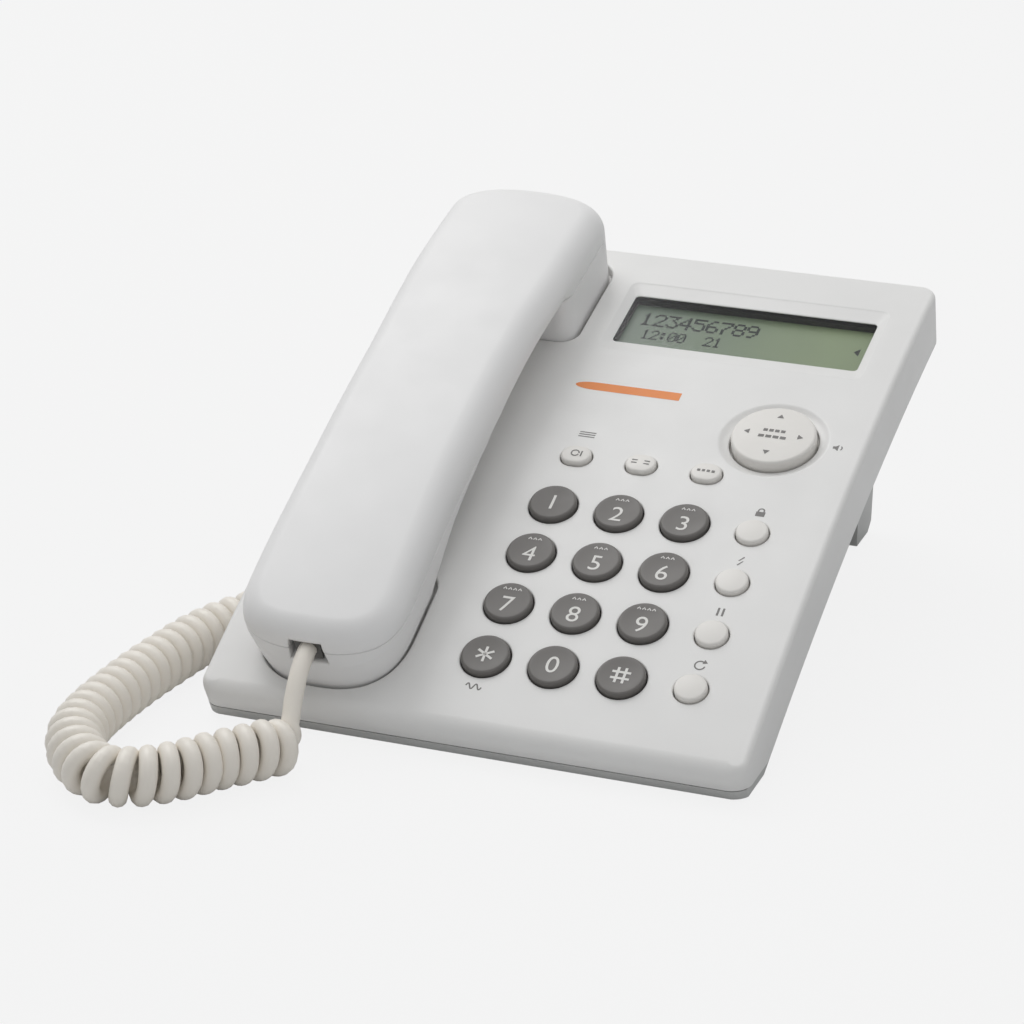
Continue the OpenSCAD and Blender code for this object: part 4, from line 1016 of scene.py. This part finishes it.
def icon(form, kind, x, y, top):
    """Small signs that stand where labels are: lock, handset lift, pause, again, tone, sound, menu."""
    w = 0.42
    if kind == "lock":
        block(form, x - 1.3, y - 1.5, x + 1.3, y + 0.3, top)
        stroke(form, [(x - 0.8, y + 0.3), *arc(x, y + 0.7, 0.8, 180, 0), (x + 0.8, y + 0.3)], w, top)
    elif kind == "flash":
        stroke(form, [(x + 0.6, y + 1.6), (x - 0.6, y), (x + 0.6, y), (x - 0.6, y - 1.6)], w, top)
    elif kind == "pause":
        for o in (-0.7, 0.7):
            stroke(form, [(x + o, y - 1.4), (x + o, y + 1.4)], 0.6, top)
    elif kind == "again":
        stroke(form, arc(x, y, 1.4, 60, 350, 24), w, top)
        patch(form, [(x + 0.5, y + 0.6), (x + 1.9, y + 1.0), (x + 0.9, y + 2.1)], top)
    elif kind == "tone":
        stroke(form, [(x - 2.2 + 0.22 * k, y + 0.9 * math.sin(k * math.pi / 5)) for k in range(21)], w, top)
    elif kind == "sound":
        horn = [(-1.6, -0.5), (-0.9, -0.5), (0, -1.3), (0, 1.3), (-0.9, 0.5), (-1.6, 0.5)]
        patch(form, [(x + a, y + b) for a, b in horn], top)
        stroke(form, arc(x, y, 1.0, -50, 50, 8), 0.35, top)
    elif kind == "menu":
        for o in (-0.9, 0, 0.9):
            stroke(form, [(x - 2.4, y + o), (x + 2.4, y + o)], 0.4, top)


def housing_print():
    figure = Form()
    flat = lambda a, b: 0.03
    for kind, (x, s) in zip(("again", "pause", "flash", "lock"), ROUND_PLACES):
        icon(figure, kind, x, s + 8.3, flat)
    icon(figure, "menu", KEY_X, OVAL_S + 9.6, flat)
    icon(figure, "tone", KEY_X, KEY_S - 10.2, flat)
    icon(figure, "sound", NAV_X + 18.6, NAV_S, flat)
    add_print("housing_signs", figure, PRINT_GREY, "base")
    bar = Form()
    x0, x1, s, half = -12.5, 19.0, 128.3, 1.7
    turn = np.linspace(0.2, math.pi / 2, 8)
    outline = [(x0, s)] + [(x0 + 6 * (1 - math.cos(a)), s - half * math.sin(a)) for a in turn]
    top_side = [(x, 2 * s - y) for x, y in outline[1:][::-1]]
    patch(bar, outline + [(x1, s - half), (x1, s + half)] + top_side, flat)
    add_print("housing_stripe", bar, PRINT_ORANGE, "base")
    top = lambda a, b: SMALL_H + OVAL_CROWN * (1 - (a * a + b * b) / 20) + PRINT_LIFT
    for node, (x, s), kind in zip(OVAL_NODES, OVAL_PLACES, ("ring", "bars", "dots")):
        form = Form()
        if kind == "ring":
            stroke(form, arc(-0.2, 0, 1.1, 0, 340, 20), 0.4, top)
            stroke(form, [(1.6, -1.1), (1.6, 1.1)], 0.4, top)
        elif kind == "bars":
            for o in (-0.55, 0.55):
                stroke(form, [(-2.6, o), (2.6, o)], 0.45, top)
        else:
            for o in (-2.1, -0.7, 0.7, 2.1):
                block(form, o - 0.45, -0.45, o + 0.45, 0.45, top)
        add_print(node + "_mark", form, PRINT_GREY, node + "_body", spot(x, s))


housing_print()


# ---------- curly cord ----------
CORD_D, COIL_D, COIL_PITCH = 5.0, 16.0, 5.4
COIL_Z = COIL_D / 2 + 0.1
STEPS_PER_TURN, CORD_SIDES, COIL_START = 20, 12, math.radians(200)
PARTING_AT = (-70.5, -54.7, COIL_Z)
HANDSET_TAIL = [
    (-44.5, -0.5, 26.2), (-44.4, -4, 25.2), (-44.2, -8, 22.6), (-43.9, -11.5, 19.4), (-43.5, -14.8, 15.6),
    (-42.9, -18.2, 11.8),
]
COIL_ROUTE = [
    (-42.9, -23.0), (-48.0, -31), (-55, -39), (-62, -48), (-71, -55), (-80, -56), (-89, -49), (-95, -39),
    (-97, -28), (-97, -15), (-96, 0), (-94, 15), (-92, 27), (-88, 39), (-82, 49), (-75, 56),
]
BASE_TAIL = [(-69.5, 60.5, 9.6), (-64.5, 64, 13), (-61.8, 66, 19), (-61, 68.5, 25), (-61, 72, 31), (-61, 77, 35.5)]


def smooth_route(points, step):
    """A Catmull-Rom curve through the points, at even steps."""
    p = np.array(points, float)
    p = np.vstack([2 * p[0] - p[1], p, 2 * p[-1] - p[-2]])
    out = []
    for i in range(1, len(p) - 2):
        for t in np.linspace(0, 1, 40, endpoint=False):
            a, b, c, d = p[i - 1 : i + 3]
            out.append(
                0.5 * (2 * b + (c - a) * t + (2 * a - 5 * b + 4 * c - d) * t * t + (3 * b - a - 3 * c + d) * t**3)
            )
    out.append(p[-2])
    out = np.array(out)
    run = np.concatenate([[0], np.cumsum(np.linalg.norm(np.diff(out, axis=0), axis=1))])
    want = np.linspace(0, run[-1], int(run[-1] / step) + 1)
    return np.column_stack([np.interp(want, run, out[:, k]) for k in range(3)]), want


def wound(spine, run, first, last):
    """The cord's middle line, wound round the route between first and last, and where its windings face."""
    open_by = smoothed((run - first + 6) / 9) * smoothed((last + 6 - run) / 9)
    rate = 2 * math.pi / COIL_PITCH * np.clip(open_by * 1.6, 0, 1)
    phase = np.concatenate([[0], np.cumsum(rate[1:] * np.diff(run))]) + COIL_START
    heading = np.gradient(spine, axis=0)
    heading /= np.linalg.norm(heading, axis=1)[:, None]
    side = np.cross(heading, (0, 0, 1.0))
    lean = np.linalg.norm(side, axis=1)[:, None]
    side = np.where(lean > 0.25, side / np.maximum(lean, 1e-6), (1.0, 0, 0))
    side -= heading * (side * heading).sum(1)[:, None]
    side /= np.linalg.norm(side, axis=1)[:, None]
    radial = np.cos(phase)[:, None] * side + np.sin(phase)[:, None] * np.cross(side, heading)
    return spine + radial * ((COIL_D - CORD_D) / 2 * open_by)[:, None], radial


def cord():
    """One wound sweep in two pieces: the front one, nearest the handset, is attached to no body; the rest stays with
    the housing.
    """
    route = HANDSET_TAIL + [(x, y, COIL_Z) for x, y in COIL_ROUTE] + BASE_TAIL
    spine, run = smooth_route(route, COIL_PITCH / STEPS_PER_TURN)
    spine[:, 1] += shift_y
    near = lambda q: run[np.argmin(np.linalg.norm(spine - (q[0], q[1] + shift_y, q[2]), axis=1))]
    line, radial = wound(spine, run, near((*COIL_ROUTE[0], COIL_Z)), near((*COIL_ROUTE[-1], COIL_Z)))
    tangent = np.gradient(line, axis=0)
    tangent /= np.linalg.norm(tangent, axis=1)[:, None]
    a = radial - tangent * (radial * tangent).sum(1)[:, None]
    a /= np.linalg.norm(a, axis=1)[:, None]
    b = np.cross(tangent, a)
    parting = int(np.argmin(np.abs(run - near(PARTING_AT))))
    turns = [2 * math.pi * k / CORD_SIDES for k in range(CORD_SIDES)]
    for name, lo, hi, body in (("cord_front", 0, parting, None), ("cord_rest", parting, len(run) - 1, "base")):
        form = Form()
        rings = []
        for i in range(lo, hi + 1):
            ring = [line[i] + (a[i] * math.cos(t) + b[i] * math.sin(t)) * CORD_D / 2 for t in turns]
            rings.append(form.ring(ring))
        for i, j in zip(rings, rings[1:]):
            form.bridge(i, j)
        form.cap(rings[0][::-1])
        form.cap(rings[-1])
        piece = form.piece(name, CORD_CREAM, lambda points: np.array(points) * MM)
        path = line[lo : hi + 1] * MM
        if body:
            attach(piece, body)
            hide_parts("cord_coil", "cord_tail_base")
            tuple(path[-1])
            [tuple(p) for p in path[::-1]]
        else:
            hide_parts("cord_tail_handset")
            tuple(path[4])
            tuple(path[-1])
            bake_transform(piece)
            tuple(path[0])
            [tuple(p) for p in path]


cord()

# ---------- finishes of the CAD's own pieces ----------
PLUG = plastic("smoky_plug", (84, 82, 80), rough=0.3)
BOARD = plastic("board_green", (52, 96, 62), rough=0.4)
METAL, metal_tree, metal_shader = principled("plated_steel")
metal_stops = [(0.3, linear(176, 176, 172)), (0.7, linear(206, 206, 202))]
metal_tree.links.new(ramp(metal_tree, noise(metal_tree, 400, 4), metal_stops), metal_shader["Base Color"])
metal_shader["Metallic"].default_value = 1.0
metal_shader["Roughness"].default_value = 0.35
RUBBER = plastic("rubber", (70, 70, 72), rough=0.7, depth=0.03)
FINISHES = {
    "lower_cover": UNDER_GREY, "desk_stand": UNDER_GREY, "battery_cover": UNDER_GREY, "lcd_board": BOARD,
    "main_board": BOARD, "front_feet": RUBBER, "rear_feet": RUBBER, "keypad_rubber": RUBBER,
    "hook_plunger": KEY_WHITE, "cover_screws": METAL, "board_screws": METAL, "battery_contacts": METAL,
    "handset_screws": METAL, "handset_weight": METAL, "plug_handset": PLUG, "plug_base": PLUG,
}
for name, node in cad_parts.items():
    node.data.materials.clear()
    node.data.materials.append(FINISHES.get(name, DARK))
